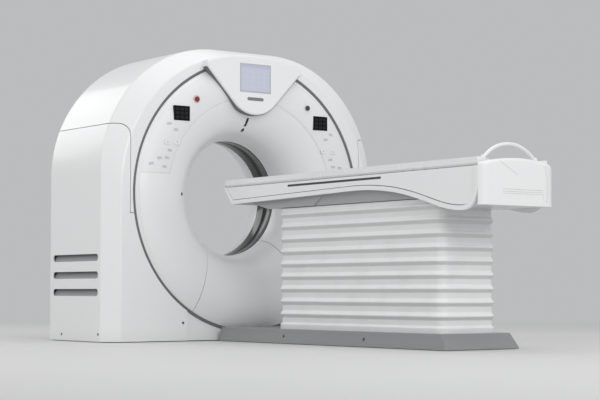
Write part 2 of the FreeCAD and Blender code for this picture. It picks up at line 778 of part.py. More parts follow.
def louvre_vane(top):
    """A vane that leans inwards behind a slot, from the slot's lower edge."""
    inside = -BODY_HALF + HOUSING_WALL
    low = top - LOUVRE_HEIGHT
    reach = 0.7 * LOUVRE_HEIGHT
    path = [(inside, low - 2 * LOUVRE_VANE), (inside + reach, top + LOUVRE_LAP),
            (inside + reach - LOUVRE_VANE, top + LOUVRE_LAP), (inside, low)]
    return prism_y(path, LOUVRE_FRONT_Y - LOUVRE_LAP, LOUVRE_REAR_Y + LOUVRE_LAP)


def screw_places():
    """Centres and directions of the cover screws: two on each side and one on each front."""
    places = []
    rear_y = SIDE_SCREW_DEPTH_SHARE * BODY_DEPTH
    front_y = FACE_CHAMFER + SIDE_SCREW_INSET
    for side in (-1, 1):
        places.append((Vector(side * BODY_HALF, rear_y, SIDE_SCREW_Z), Vector(side, 0, 0)))
        places.append((Vector(side * BODY_HALF, front_y, SIDE_SCREW_FRONT_Z), Vector(side, 0, 0)))
        places.append((Vector(side * (PLINTH_HALF + FACE_SCREW_INSET), 0, FACE_SCREW_Z),
                       Vector(0, -1, 0)))
    return places


def cover_screw(place, outward):
    """A button head whose shank ends flush with the inside of the cover."""
    head = Part.makeCylinder(SCREW_R, SCREW_HEAD, place, outward)
    shank = Part.makeCylinder(SCREW_R / 2, HOUSING_WALL, place - outward * HOUSING_WALL, outward)
    return head.fuse(shank)


def cover_screws():
    return Part.Compound([cover_screw(*place) for place in screw_places()])


def left_side_cover(shell):
    cover = shell.common(side_region(SEAM_GAP / 2))
    for top in LOUVRE_TOPS:
        cover = cover.cut(louvre_slot(top)).fuse(louvre_vane(top))
    return without(cover, *[cover_screw(*place) for place in screw_places()])


def right_side_cover(left_cover):
    return mirror_x(left_cover)


def top_shroud(shell):
    """The arch over the top, with a narrow leg down each side of the front circle."""
    left = side_region(-SEAM_GAP / 2)
    below = box((-SIDE_SEAM_X - 1, SIDE_SEAM_X + 1), (-50, BODY_DEPTH + 50),
                (-50, SIDE_SEAM_FOOT_Z + SEAM_GAP / 2))
    return without(shell, left, mirror_x(left), below)


def plinth_cover():
    """The recessed plate below the front circle, with a gap for the couch's floor plate."""
    half = PLINTH_HALF - SEAM_GAP / 2
    plate = box((-half, half), (PLINTH_RECESS, PLINTH_RECESS + HOUSING_WALL),
                (FLOOR_GAP, PLINTH_TOP_Z))
    opening = cylinder_y(FACE_OPENING_R, 0, FACE_CHAMFER)
    tongue = COUCH_BASE_HALF + SEAM_GAP
    notch = box((-tongue, tongue), (0, FACE_CHAMFER), (0, COUCH_BASE_PLATE + SEAM_GAP / 2))
    return without(plate, opening, notch)


# ---------------------------------------------------------------- console and controls

def console_outline(gap):
    """The shield outline as a path of (x, z), grown by a gap."""
    angle = math.radians(CONSOLE_SIDE_ANGLE)
    radius = CONSOLE_TIP_R + gap
    centre_z = CONSOLE_TIP_Z + CONSOLE_TIP_R
    tangent = (radius * math.sin(angle), centre_z - radius * math.cos(angle))
    half = CONSOLE_HALF + gap
    shoulder = tangent[1] + (half - tangent[0]) * math.tan(angle)
    top = BODY_TOP + 20
    return [(-half, top), (-half, shoulder), (-tangent[0], tangent[1]),
            ((0, centre_z - radius), tangent), (half, shoulder), (half, top)]


def console_housing():
    """The shield-shaped console, seated on the dished cover and the housing's face."""
    block = prism_y(console_outline(0.0), -CONSOLE_PROUD, FACE_CHAMFER / 2)
    block = block.common(Part.Face(face_arch(0.0, 0.0, -CONSOLE_PROUD)).extrude(
        Vector(0, CONSOLE_PROUD, 0)))
    front_edges = [edge for edge in block.Edges if edge.BoundBox.YMax < -CONSOLE_PROUD + 0.1]
    block = block.makeFillet(CONSOLE_ROUND, front_edges)
    return without(block, dish_solid(), console_screen())


def console_screen():
    half = SCREEN_WIDTH / 2
    front = -CONSOLE_PROUD - SCREEN_PROUD
    return box((-half, half), (front, front + SCREEN_THICK),
               (SCREEN_BOTTOM_Z, SCREEN_BOTTOM_Z + SCREEN_HEIGHT))


def display_block(side, gap):
    half_x, half_z = DISPLAY_WIDTH / 2 + gap, DISPLAY_HEIGHT / 2 + gap
    front = FRONT_CREST_Y - DISPLAY_PROUD
    return box((side * DISPLAY_X - half_x, side * DISPLAY_X + half_x),
               (front, front + DISPLAY_THICK), (DISPLAY_Z - half_z, DISPLAY_Z + half_z))


def position_display(side):
    return display_block(side, 0.0)


def key_centre(side, place):
    """The (x, z) of a key; place counts outwards from the bore."""
    return side * (KEY_INNER_X + place * KEY_PITCH_X), KEY_Z


def key_block(side, place, gap):
    x, z = key_centre(side, place)
    front = surface_at(math.hypot(x, z - AXIS_HEIGHT)) - PANEL_THICK - KEY_PROUD
    half_x, half_z = KEY_WIDTH / 2 + gap, KEY_HEIGHT / 2 + gap
    length = KEY_LENGTH if gap == 0 else KEY_LENGTH + 60
    block = box((x - half_x, x + half_x), (front, front + length), (z - half_z, z + half_z))
    corners = [edge for edge in block.Edges
               if abs(edge.tangentAt(edge.FirstParameter).y) > 0.9]
    return block.makeFillet(KEY_CORNER_R, corners)


def control_key(side, place):
    return key_block(side, place, 0.0)


def control_panel(side):
    """The overlay that follows the dished cover, between the circle seam and the bore."""
    skin = dish_skin(-PANEL_THICK, 0.0)
    skin = skin.common(ring_y(PANEL_INNER_R, PANEL_OUTER_R, -100, 100))
    window = box((0, side * BODY_HALF) if side > 0 else (side * BODY_HALF, 0), (-100, 100),
                 (PANEL_FOOT_Z, BODY_TOP))
    skin = skin.common(window)
    skin = skin.cut(prism_y(console_outline(PANEL_CONSOLE_GAP), -100, 100))
    return without(skin, *front_openings())


def stop_button(side):
    """A mushroom button whose cap stands off the panel by its travel."""
    surface = FRONT_CREST_Y - PANEL_THICK
    cap_back = surface - STOP_TRAVEL - STOP_REST_GAP
    x, z = side * STOP_X, STOP_Z
    cap = cylinder_y(STOP_CAP_R, cap_back - STOP_CAP_THICK, cap_back, x, z)
    stem = cylinder_y(STOP_STEM_R, cap_back - 1, cap_back + STOP_LENGTH, x, z)
    rim = [edge for edge in cap.Edges if edge.BoundBox.YMax < cap_back - STOP_CAP_THICK + 0.1]
    return cap.makeChamfer(STOP_CAP_CHAMFER, rim).fuse(stem)


def laser_pins():
    """Round windows of the positioning lasers, square to the flare at 3, 9 and 12 o'clock."""
    centre_r = BORE_R + FRONT_LIP_CURVE
    centre_y = FRONT_THROAT_Y - FRONT_THROAT_LAND
    pins = []
    for degrees, radius in ((90, LASER_TOP_R), (0, LASER_SIDE_R), (180, LASER_SIDE_R)):
        y = surface_at(radius)
        outward = Vector(radius - centre_r, y - centre_y, 0).normalize()
        base = Vector(radius, y, AXIS_HEIGHT) - outward * COVER_WALL
        pin = Part.makeCylinder(LASER_R, COVER_WALL + LASER_PROUD, base, outward)
        pins.append(about_bore(pin, degrees))
    return pins


def laser_slit():
    """The upright slit window below the console, as thick as the cover and a little proud."""
    column = box((-SLIT_HALF, SLIT_HALF), (FRONT_CREST_Y, FRONT_THROAT_Y),
                 (AXIS_HEIGHT + SLIT_INNER_R, AXIS_HEIGHT + SLIT_INNER_R + SLIT_LENGTH))
    return dish_skin(-LASER_PROUD, COVER_WALL).common(column).Solids[0]


def laser_windows():
    return Part.Compound(laser_pins() + [laser_slit()])


# ---------------------------------------------------------------- stationary inner parts

def gantry_base():
    """A floor plate with ribs along both sides and pads for the stationary frame."""
    plate = box((-BASE_HALF, BASE_HALF), (BASE_FRONT_Y, BASE_REAR_Y), (0, BASE_PLATE))
    high = BASE_PLATE + BASE_RIB_HEIGHT
    rib_in = BASE_HALF - BASE_RIB_WIDTH
    ribs = [box(side_span(side, rib_in, BASE_HALF), (BASE_FRONT_Y, BASE_REAR_Y), (0, high))
            for side in (-1, 1)]
    pad = box((-rib_in, rib_in), (FRAME_FRONT_Y - BASE_PAD_LEAD, FRAME_REAR_Y + FRAME_SHELF), (0, high))
    body = joined([plate, pad] + ribs)
    holes = [Part.makeCylinder(ANCHOR_HOLE_R, high, Vector(side * (BASE_HALF - BASE_HOLE_INSET), y, 0))
             for side in (-1, 1) for y in (BASE_FRONT_Y + BASE_HOLE_END, BASE_REAR_Y - BASE_HOLE_END)]
    return without(body, *holes)


def main_frame():
    """The upright ring plate that carries the bearing, with a foot and a motor ear."""
    foot_z = BASE_PLATE + BASE_RIB_HEIGHT
    disc = cylinder_y(FRAME_R, FRAME_FRONT_Y, FRAME_REAR_Y)
    waist = FRAME_R - FRAME_WAIST
    path = [(-FRAME_FOOT_HALF, foot_z), (FRAME_FOOT_HALF, foot_z),
            (waist, AXIS_HEIGHT), (-waist, AXIS_HEIGHT)]
    legs = prism_y(path, FRAME_FRONT_Y, FRAME_REAR_Y)
    shelf = box((-FRAME_FOOT_HALF, FRAME_FOOT_HALF), (FRAME_FRONT_Y, FRAME_REAR_Y + FRAME_SHELF),
                (foot_z, foot_z + FRAME_SHELF_THICK))
    ear_back = FRAME_FRONT_Y + MOTOR_EAR_THICK
    ear = cylinder_y(MOTOR_R + MOTOR_EAR, FRAME_FRONT_Y, ear_back, MOTOR_X, MOTOR_Z)
    web = box((FRAME_FOOT_HALF - MOTOR_WEB_REACH, MOTOR_X), (FRAME_FRONT_Y, ear_back),
              (MOTOR_Z - MOTOR_WEB_HALF, MOTOR_Z + MOTOR_WEB_HALF))
    rib_r = FRAME_BORE_R + FRAME_RIB_INNER
    rib = ring_y(rib_r, rib_r + FRAME_RIB_WIDTH, FRAME_REAR_Y - 1, FRAME_REAR_Y + FRAME_RIB_HEIGHT)
    body = joined([disc, legs, shelf, ear, web, rib])
    shaft_hole = cylinder_y(PULLEY_SHAFT_R + 12, FRAME_FRONT_Y - 1, FRAME_REAR_Y, MOTOR_X, MOTOR_Z)
    motor_seat = cylinder_y(MOTOR_R, ear_back, FRAME_REAR_Y + 1, MOTOR_X, MOTOR_Z)
    return without(body, cylinder_y(FRAME_BORE_R, 0, BODY_DEPTH), shaft_hole, motor_seat)


def bearing_outer_race():
    return ring_y(RACE_SPLIT_R + RUNNING_GAP, FRAME_BORE_R, FRAME_FRONT_Y - 15, FRAME_REAR_Y)


def drive_motor():
    back = FRAME_FRONT_Y + MOTOR_EAR_THICK
    body = cylinder_y(MOTOR_R, back, back + MOTOR_LENGTH, MOTOR_X, MOTOR_Z)
    near, far = (back + share * MOTOR_LENGTH for share in TERMINAL_SHARE)
    terminal_box = box((MOTOR_X - TERMINAL_HALF, MOTOR_X + TERMINAL_HALF), (near, far),
                       (MOTOR_Z + MOTOR_R / 2, MOTOR_Z + MOTOR_R + TERMINAL_HEIGHT))
    bore = cylinder_y(PULLEY_SHAFT_R + SHAFT_CLEARANCE, back - 1, back + 60, MOTOR_X, MOTOR_Z)
    return body.fuse(terminal_box).cut(bore)


def drive_pulley():
    """A pulley with its shaft, which turns in the motor's bore."""
    middle = DRUM_FRONT_Y + DRUM_THICK / 2
    low, high = middle - PULLEY_WIDTH / 2, middle + PULLEY_WIDTH / 2
    wheel = cylinder_y(PULLEY_R, low, high, MOTOR_X, MOTOR_Z)
    flanges = [cylinder_y(PULLEY_R + BELT_THICK + 4, y, y + 3, MOTOR_X, MOTOR_Z)
               for y in (low - 0.5, high - 2.5)]
    shaft = cylinder_y(PULLEY_SHAFT_R, low, FRAME_REAR_Y + 30, MOTOR_X, MOTOR_Z)
    return joined([wheel, shaft] + flanges)


def belt_loop(offset):
    """The area inside a belt that wraps the drum and the pulley at an offset."""
    big, small = DRUM_R + RUNNING_GAP + offset, PULLEY_R + RUNNING_GAP + offset
    away = Vector(MOTOR_X, 0, MOTOR_Z - AXIS_HEIGHT)
    distance = away.Length
    lean = math.acos((big - small) / distance)
    heading = math.atan2(away.z, away.x)

    def at(centre, radius, angle):
        return (centre[0] + radius * math.cos(angle), centre[1] + radius * math.sin(angle))

    drum, pulley = (0.0, AXIS_HEIGHT), (MOTOR_X, MOTOR_Z)
    return [at(drum, big, heading + lean),
            (at(drum, big, heading + math.pi), at(drum, big, heading - lean)),
            at(pulley, small, heading - lean),
            (at(pulley, small, heading), at(pulley, small, heading + lean))]


def drive_belt():
    middle = DRUM_FRONT_Y + DRUM_THICK / 2
    low, high = middle - BELT_WIDTH / 2, middle + BELT_WIDTH / 2
    return prism_y(belt_loop(BELT_THICK), low, high).cut(prism_y(belt_loop(0.0), low - 1, high + 1))


def brush_block():
    """The brush holder that reaches from the frame to the slip ring's tracks."""
    front = DRUM_REAR_Y + SLIP_THICK + RUNNING_GAP
    block = box((SLIP_INNER_R + 10, SLIP_OUTER_R - 10), (front, FRAME_FRONT_Y),
                (AXIS_HEIGHT - 60, AXIS_HEIGHT + 60))
    return about_bore(block, 38)


def fan_housing():
    """A square fan frame on a foot, with a pin for the fan on its cross arm."""
    half = FAN_SIDE / 2
    low_x = FAN_X - FAN_DEPTH / 2
    frame = box((low_x, low_x + FAN_DEPTH), (FAN_Y - half, FAN_Y + half), (FAN_Z - half, FAN_Z + half))
    frame = frame.cut(bar_x(FAN_R + FAN_SHROUD_GAP, (low_x - 1, low_x + FAN_DEPTH + 1), FAN_Y, FAN_Z))
    arm = box((low_x, low_x + FAN_ARM_THICK), (FAN_Y - FAN_R - 10, FAN_Y + FAN_R + 10),
              (FAN_Z - FAN_ARM_HALF, FAN_Z + FAN_ARM_HALF))
    pin = bar_x(FAN_PIN_R, (low_x, low_x + FAN_HUB_STEP + FAN_HUB_LENGTH + 8), FAN_Y, FAN_Z)
    foot = box((low_x, low_x + FAN_DEPTH), (FAN_Y - FAN_FOOT_HALF, FAN_Y + FAN_FOOT_HALF),
               (BASE_PLATE, FAN_Z - half + 1))
    return joined([frame, arm, pin, foot])


def cooling_fan():
    """A hub with pitched blades that turns on the housing's pin."""
    low_x = FAN_X - FAN_DEPTH / 2 + FAN_HUB_STEP
    span = (low_x, low_x + FAN_HUB_LENGTH)
    middle, root = (span[0] + span[1]) / 2, FAN_HUB_R - 5
    blades = []
    for index in range(FAN_BLADES):
        blade = box((middle - FAN_BLADE_THICK / 2, middle + FAN_BLADE_THICK / 2), (root, FAN_R),
                    (-FAN_BLADE_WIDTH / 2, FAN_BLADE_WIDTH / 2))
        blade.rotate(Vector(middle, 0, 0), ALONG_Y, FAN_BLADE_PITCH)
        blade.rotate(Vector(0, 0, 0), ALONG_X, index * 360.0 / FAN_BLADES)
        blade.translate(Vector(0, FAN_Y, FAN_Z))
        blades.append(blade)
    hub = bar_x(FAN_HUB_R, span, FAN_Y, FAN_Z)
    body = joined([hub] + blades).common(bar_x(FAN_R, span, FAN_Y, FAN_Z))
    return body.cut(bar_x(FAN_PIN_R + SHAFT_CLEARANCE, (span[0] - 1, span[1] + 1), FAN_Y, FAN_Z))


# ---------------------------------------------------------------- rotating parts

def rotor_drum():
    """The turning disc, with its rim for the belt and lightening holes between the units."""
    disc = ring_y(DRUM_BORE_R, DRUM_R, DRUM_FRONT_Y, DRUM_REAR_Y)
    middle = DRUM_FRONT_Y + DRUM_THICK / 2
    rim = ring_y(DRUM_R - DRUM_RIM, DRUM_R, middle - DRUM_RIM_WIDTH / 2, middle + DRUM_RIM_WIDTH / 2)
    body = disc.fuse(rim)
    reach = (RACE_SPLIT_R + SLIP_INNER_R) / 2
    holes = [about_bore(cylinder_y(DRUM_HOLE_R, 0, BODY_DEPTH, reach, AXIS_HEIGHT),
                        (index + 0.5) * 360.0 / DRUM_HOLES) for index in range(DRUM_HOLES)]
    return without(body, *holes)


def bearing_inner_race():
    return ring_y(RACE_INNER_R, RACE_SPLIT_R, DRUM_REAR_Y, FRAME_REAR_Y - 10)


def slip_ring():
    """The power and signal ring, with a groove between each pair of tracks."""
    ring = ring_y(SLIP_INNER_R, SLIP_OUTER_R, DRUM_REAR_Y, DRUM_REAR_Y + SLIP_THICK)
    pitch = (SLIP_OUTER_R - SLIP_INNER_R) / SLIP_TRACKS
    for track in range(1, SLIP_TRACKS):
        radius = SLIP_INNER_R + track * pitch
        ring = ring.cut(ring_y(radius - SLIP_GROOVE_HALF, radius + SLIP_GROOVE_HALF,
                               DRUM_REAR_Y + SLIP_THICK - SLIP_GROOVE_DEPTH, FRAME_FRONT_Y))
    return ring


def xray_tube():
    """The tube housing, a can with a smaller cathode end, on the drum at 12 o'clock."""
    z = AXIS_HEIGHT + TUBE_RADIUS
    front = DRUM_FRONT_Y - TUBE_LENGTH
    can = cylinder_y(TUBE_R, front, DRUM_FRONT_Y, 0, z)
    end = cylinder_y(TUBE_END_R, front - TUBE_END_LENGTH, front, 0, z)
    bands = [cylinder_y(TUBE_R + 6, y, y + 18, 0, z) for y in (front + 30, DRUM_FRONT_Y - 60)]
    return joined([can, end] + bands)


def collimator():
    """The beam shaper below the tube, which widens towards the patient."""
    low, high = RACE_INNER_R + COLLIMATOR_GAP, TUBE_RADIUS - 0.8 * TUBE_R
    path = [(-COLLIMATOR_HALF, AXIS_HEIGHT + low), (COLLIMATOR_HALF, AXIS_HEIGHT + low),
            (0.6 * COLLIMATOR_HALF, AXIS_HEIGHT + high), (-0.6 * COLLIMATOR_HALF, AXIS_HEIGHT + high)]
    block = prism_y(path, DRUM_FRONT_Y - COLLIMATOR_LENGTH, DRUM_FRONT_Y)
    return block.cut(xray_tube())


def sector_y(centre, radii, half_angle, length, heading):
    """A sector of a ring along Y, centred on a heading counted from +X towards +Z."""
    inner, outer = radii
    sweep = 2 * half_angle
    sector = Part.makeCylinder(outer, length, centre, ALONG_Y, sweep).cut(
        Part.makeCylinder(inner, length, centre, ALONG_Y, sweep)).Solids[0]
    middle = sector.CenterOfMass - centre
    sector.rotate(centre, ALONG_Y, math.degrees(math.atan2(middle.z, middle.x)) - heading)
    return sector


def focus_sector(inner, outer, half_angle, y_from, y_to):
    """A sector of a ring about the tube's focus, opposite the tube."""
    focus = Vector(0, y_from, AXIS_HEIGHT + TUBE_RADIUS)
    return sector_y(focus, (inner, outer), half_angle, y_to - y_from, -90)


def detector_arc():
    return focus_sector(DETECTOR_DISTANCE, DETECTOR_DISTANCE + DETECTOR_THICK, DETECTOR_HALF_ANGLE,
                        DRUM_FRONT_Y - DETECTOR_LENGTH, DRUM_FRONT_Y)


def data_modules():
    """Read-out modules side by side on the back of the detector, joined by a backplane."""
    back = DETECTOR_DISTANCE + DETECTOR_THICK
    front = DRUM_FRONT_Y - MODULE_LENGTH
    focus = Vector(0, 0, AXIS_HEIGHT + TUBE_RADIUS)
    plane = focus_sector(back + MODULE_DEPTH - 8, back + MODULE_DEPTH, DETECTOR_HALF_ANGLE - 1,
                         front, DRUM_FRONT_Y)
    step = 2 * (DETECTOR_HALF_ANGLE - 2) / MODULES
    pieces = [plane]
    for index in range(MODULES):
        module = box((-MODULE_WIDTH / 2, MODULE_WIDTH / 2), (front, DRUM_FRONT_Y),
                     (focus.z - back - MODULE_DEPTH + 4, focus.z - back + 3))
        module.rotate(focus, ALONG_Y, (index - (MODULES - 1) / 2) * step)
        pieces.append(module)
    return joined(pieces).cut(detector_arc())


def hv_generator():
    """The high-voltage generator, a tank with a stepped lid, at 3 o'clock."""
    front = DRUM_FRONT_Y - GENERATOR_LENGTH
    lid_back, step = front + GENERATOR_LID, GENERATOR_LID_STEP
    tank = box((GENERATOR_INNER_X, GENERATOR_OUTER_X), (lid_back, DRUM_FRONT_Y),
               (AXIS_HEIGHT - GENERATOR_HALF, AXIS_HEIGHT + GENERATOR_HALF))
    lid = box((GENERATOR_INNER_X + step, GENERATOR_OUTER_X - step), (front, lid_back),
              (AXIS_HEIGHT - GENERATOR_HALF + step, AXIS_HEIGHT + GENERATOR_HALF - step))
    return tank.fuse(lid)


def tube_cooler():
    """The oil cooler beside the tube, a core with fins across it."""
    front = DRUM_FRONT_Y - COOLER_LENGTH
    outer = DRUM_R - COOLER_INSET
    span, low = (outer - COOLER_SIDE, outer), AXIS_HEIGHT - COOLER_SIDE / 2
    core = box(span, (front + COOLER_FIN_HEIGHT, DRUM_FRONT_Y), (low, low + COOLER_SIDE))
    pitch = COOLER_SIDE / COOLER_FINS
    fins = [box(span, (front, front + COOLER_FIN_HEIGHT + 1),
                (low + index * pitch, low + index * pitch + COOLER_FIN_THICK))
            for index in range(COOLER_FINS)]
    return about_bore(joined([core] + fins), COOLER_ANGLE)


def balance_weight():
    """A stack of plates bent to the drum, opposite the generator."""
    radii = (SLIP_INNER_R - 10, DRUM_R - DRUM_RIM - 10)
    start = Vector(0, DRUM_FRONT_Y - WEIGHT_LENGTH, AXIS_HEIGHT)
    return sector_y(start, radii, WEIGHT_HALF_ANGLE, WEIGHT_LENGTH, WEIGHT_ANGLE)


# ---------------------------------------------------------------- couch base and lift

def couch_base():
    """The steel floor plate with side rails, roller tracks and the lower arm brackets."""
    plate = box((-COUCH_BASE_HALF, COUCH_BASE_HALF), (COUCH_BASE_END_Y, BASE_FRONT_Y),
                (0, COUCH_BASE_PLATE))
    outside = COUCH_BASE_HALF - COUCH_RAIL_WALL
    rail_y = (BELLOWS_REAR_Y + COUCH_RAIL_END, BELLOWS_FRONT_Y - COUCH_RAIL_END)
    track_top = LOWER_PIVOT_Z - ROLLER_R - RUNNING_GAP
    track_out = INNER_ARM_X + COUCH_TRACK_LAP
    track_y = (PIVOT_Y + ARM_SPAN - COUCH_TRACK_LEAD, PIVOT_Y + ARM_LENGTH + COUCH_TRACK_TAIL)
    bracket_y = (PIVOT_Y - COUCH_BRACKET_HALF, PIVOT_Y + COUCH_BRACKET_HALF)
    pieces = [plate]
    for side in (-1, 1):
        pieces.append(box(side_span(side, outside, COUCH_BASE_HALF), rail_y, (0, COUCH_RAIL_HEIGHT)))
        pieces.append(box(side_span(side, track_out - COUCH_TRACK_WIDTH, track_out), track_y,
                          (0, track_top)))
        pieces.append(box(side_span(side, OUTER_ARM_X + ARM_THICK + 2, outside + 1), bracket_y,
                          (0, COUCH_RAIL_HEIGHT)))
    body = joined(pieces)
    hole = bar_x(ARM_SHAFT_R + SHAFT_CLEARANCE, (-COUCH_BASE_HALF - 1, COUCH_BASE_HALF + 1),
                 PIVOT_Y, LOWER_PIVOT_Z)
    ends = (BELLOWS_FRONT_Y - COUCH_ANCHOR_END, BELLOWS_REAR_Y + 2 * COUCH_ANCHOR_END)
    anchors = [Part.makeCylinder(ANCHOR_HOLE_R, COUCH_BASE_PLATE + 2, Vector(side * COUCH_ANCHOR_X, y, -1))
               for side in (-1, 1) for y in ends]
    return without(body, hole, *anchors)


def skirt_form(inset, floor):
    """The couch base cover as a solid: a long tray whose foot end leans inwards."""
    half = SKIRT_HALF - inset
    front, rear = SKIRT_FRONT_Y - inset, SKIRT_END_Y + inset
    top = SKIRT_HEIGHT - inset
    path = [(front, floor), (front, top), (rear + SKIRT_SLANT, top), (rear, floor + SKIRT_TOE),
            (rear, floor)]
    form = prism_x(path, -half, half)
    high_half = half - SKIRT_LEAN
    side = [(-half, floor), (half, floor), (high_half, top), (-high_half, top)]
    return form.common(prism_y(side, rear - 1, front + 1))


def base_skirt():
    """The moulded cover of the couch base, open where the lift comes through."""
    shell = skirt_form(0.0, 2.0).cut(skirt_form(SKIRT_WALL, -20.0))
    half = LIFT_ROOM_HALF - 4
    window = box((-half, half), (BELLOWS_REAR_Y + 24, BELLOWS_FRONT_Y - 24), (20, SKIRT_HEIGHT + 10))
    tongue = COUCH_BASE_HALF + SEAM_GAP
    passage = box((-tongue, tongue), (SKIRT_FRONT_Y - 20, SKIRT_FRONT_Y + 5),
                  (0, COUCH_BASE_PLATE + SEAM_GAP / 2))
    return without(shell, window, passage)


def rounded_loop(inset, z):
    """The bellows' outline at a height: a rectangle with round corners."""
    half = BELLOWS_HALF - inset
    low, high = BELLOWS_REAR_Y + inset, BELLOWS_FRONT_Y - inset
    radius = BELLOWS_CORNER_R - inset
    bend = radius * (1 - math.sqrt(0.5))
    points = [Vector(-half, low + radius, z), Vector(-half, high - radius, z),
              (Vector(-half + bend, high - bend, z), Vector(-half + radius, high, z)),
              Vector(half - radius, high, z),
              (Vector(half - bend, high - bend, z), Vector(half, high - radius, z)),
              Vector(half, low + radius, z),
              (Vector(half - bend, low + bend, z), Vector(half - radius, low, z)),
              Vector(-half + radius, low, z),
              (Vector(-half + bend, low + bend, z), Vector(-half, low + radius, z))]
    return Part.Wire(edges_through(points))


def bellows():
    """The lift's cover: equal folds above a collar, around a straight inner space."""
    first = SKIRT_HEIGHT + BELLOWS_COLLAR
    pitch = (PLATFORM_Z - first) / (BELLOWS_FOLDS + 0.25)
    loops = [rounded_loop(0.0, SKIRT_HEIGHT), rounded_loop(0.0, first - 8)]
    for fold in range(BELLOWS_FOLDS):
        low = first + fold * pitch
        loops.append(rounded_loop(BELLOWS_FOLD_DEPTH, low + 0.25 * pitch))
        loops.append(rounded_loop(0.0, low + 0.62 * pitch))
        loops.append(rounded_loop(0.0, low + 0.88 * pitch))
    loops.append(rounded_loop(0.5 * BELLOWS_FOLD_DEPTH, PLATFORM_Z))
    outside = Part.makeLoft(loops, True, True)
    inset = BELLOWS_FOLD_DEPTH + BELLOWS_WALL
    inside = Part.Face(rounded_loop(inset, SKIRT_HEIGHT - 1)).extrude(
        Vector(0, 0, PLATFORM_Z - SKIRT_HEIGHT + 2))
    return outside.cut(inside)


def arm_bar(x_from):
    """A flat bar with round ends, lying along +Y from the lower pivot."""
    r = ARM_HEIGHT / 2
    path = [(0, -r), (ARM_LENGTH, -r), ((ARM_LENGTH + r, 0), (ARM_LENGTH, r)), (0, r),
            ((-r, 0), (0, -r))]
    return prism_x(path, x_from, x_from + ARM_THICK)


def arm_pair(x_inner):
    return [arm_bar(x_inner), arm_bar(-x_inner - ARM_THICK)]


def placed_arm(shape, degrees, start_z):
    """Turns a lying arm frame up by an angle and sets it on its pivot."""
    shape.rotate(Vector(0, 0, 0), ALONG_X, degrees)
    shape.translate(Vector(0, PIVOT_Y, start_z))
    return shape


def outer_scissor_frame():
    """Two outer bars with the lower pivot shaft, the centre shaft and the upper rollers."""
    edge = OUTER_ARM_X + ARM_THICK
    lower = bar_x(ARM_SHAFT_R, (-COUCH_BASE_HALF + 2, COUCH_BASE_HALF - 2), 0, 0)
    centre = bar_x(ARM_SHAFT_R, (-edge, edge), ARM_LENGTH / 2, 0)
    upper = bar_x(ARM_SHAFT_R, (-edge, edge), ARM_LENGTH, 0)
    rollers = [bar_x(ROLLER_R, span, ARM_LENGTH, 0)
               for span in ((edge - 1, edge + ROLLER_WIDTH / 2), (-edge - ROLLER_WIDTH / 2, -edge + 1))]
    frame = joined(arm_pair(OUTER_ARM_X) + [lower, centre, upper] + rollers)
    return placed_arm(frame, ARM_ANGLE, LOWER_PIVOT_Z)


def inner_scissor_frame():
    """Two inner bars that turn on the centre shaft, with rollers below and a shaft above."""
    inside = INNER_ARM_X
    lower = bar_x(ARM_SHAFT_R, (-inside - 2, inside + 2), ARM_LENGTH, 0)
    upper = bar_x(ARM_SHAFT_R, (-OUTER_ARM_X + 5, OUTER_ARM_X - 5), 0, 0)
    rollers = [bar_x(ROLLER_R, span, ARM_LENGTH, 0)
               for span in ((inside - ROLLER_WIDTH, inside + 1), (-inside - 1, -inside + ROLLER_WIDTH))]
    frame = joined(arm_pair(INNER_ARM_X) + [lower, upper] + rollers)
    edge = OUTER_ARM_X
    frame = frame.cut(bar_x(ARM_SHAFT_R + SHAFT_CLEARANCE, (-edge, edge), ARM_LENGTH / 2, 0))
    return placed_arm(frame, -ARM_ANGLE, UPPER_PIVOT_Z)


def tube_z(outer_r, z_from, z_to):
    """An upright tube of the lifting column."""
    start = Vector(0, COLUMN_Y, z_from)
    tube = Part.makeCylinder(outer_r, z_to - z_from, start)
    return tube.cut(Part.makeCylinder(outer_r - COLUMN_WALL, z_to - z_from, start))


def stage_radius(stage):
    return CYLINDER_R - stage * (COLUMN_WALL + COLUMN_CLEARANCE)


def lift_cylinder():
    return tube_z(stage_radius(0), COUCH_BASE_PLATE, COUCH_BASE_PLATE + CYLINDER_LENGTH)


def lift_mid_stage():
    return tube_z(stage_radius(1), MID_STAGE_BOTTOM_Z, MID_STAGE_BOTTOM_Z + MID_STAGE_LENGTH)


def lift_ram():
    return tube_z(stage_radius(2), PLATFORM_Z - RAM_LENGTH, PLATFORM_Z)


def hydraulic_unit():
    """The pump block with its motor and tank, on the couch's floor plate."""
    half_length = PUMP_LENGTH / 2
    block = box((-PUMP_HALF, PUMP_HALF), (PUMP_Y - half_length, PUMP_Y + half_length),
                (COUCH_BASE_PLATE, COUCH_BASE_PLATE + PUMP_HEIGHT))
    motor = cylinder_y(PUMP_MOTOR_R, PUMP_Y, PUMP_Y + PUMP_MOTOR_LENGTH, 0, PUMP_AXIS_Z)
    tank_end = PUMP_Y - half_length
    tank = cylinder_y(TANK_R, tank_end - TANK_LENGTH, tank_end + 1, 0, PUMP_AXIS_Z)
    return joined([block, motor, tank])


# ---------------------------------------------------------------- couch top

def lift_platform():
    """The plate on top of the lift, with stringers above and roller channels below."""
    half = LIFT_ROOM_HALF
    front, rear = BELLOWS_FRONT_Y - PLATFORM_END, BELLOWS_REAR_Y + PLATFORM_END
    pieces = [box((-half, half), (rear, front), (PLATFORM_Z, PLATFORM_Z + PLATFORM_PLATE))]
    channel_roof = UPPER_PIVOT_Z + ROLLER_R + ARM_SLACK
    for side in (-1, 1):
        pieces.append(box(side_span(side, STRINGER_X, STRINGER_X + STRINGER_WALL), (rear, front),
                          (PLATFORM_Z, COUCH_BEAM_Z)))
        pieces.append(box(side_span(side, INNER_ARM_X - 8, half - 1),
                          (rear + CHANNEL_END, front - CHANNEL_END), (channel_roof, PLATFORM_Z + 1)))
    return joined(pieces)


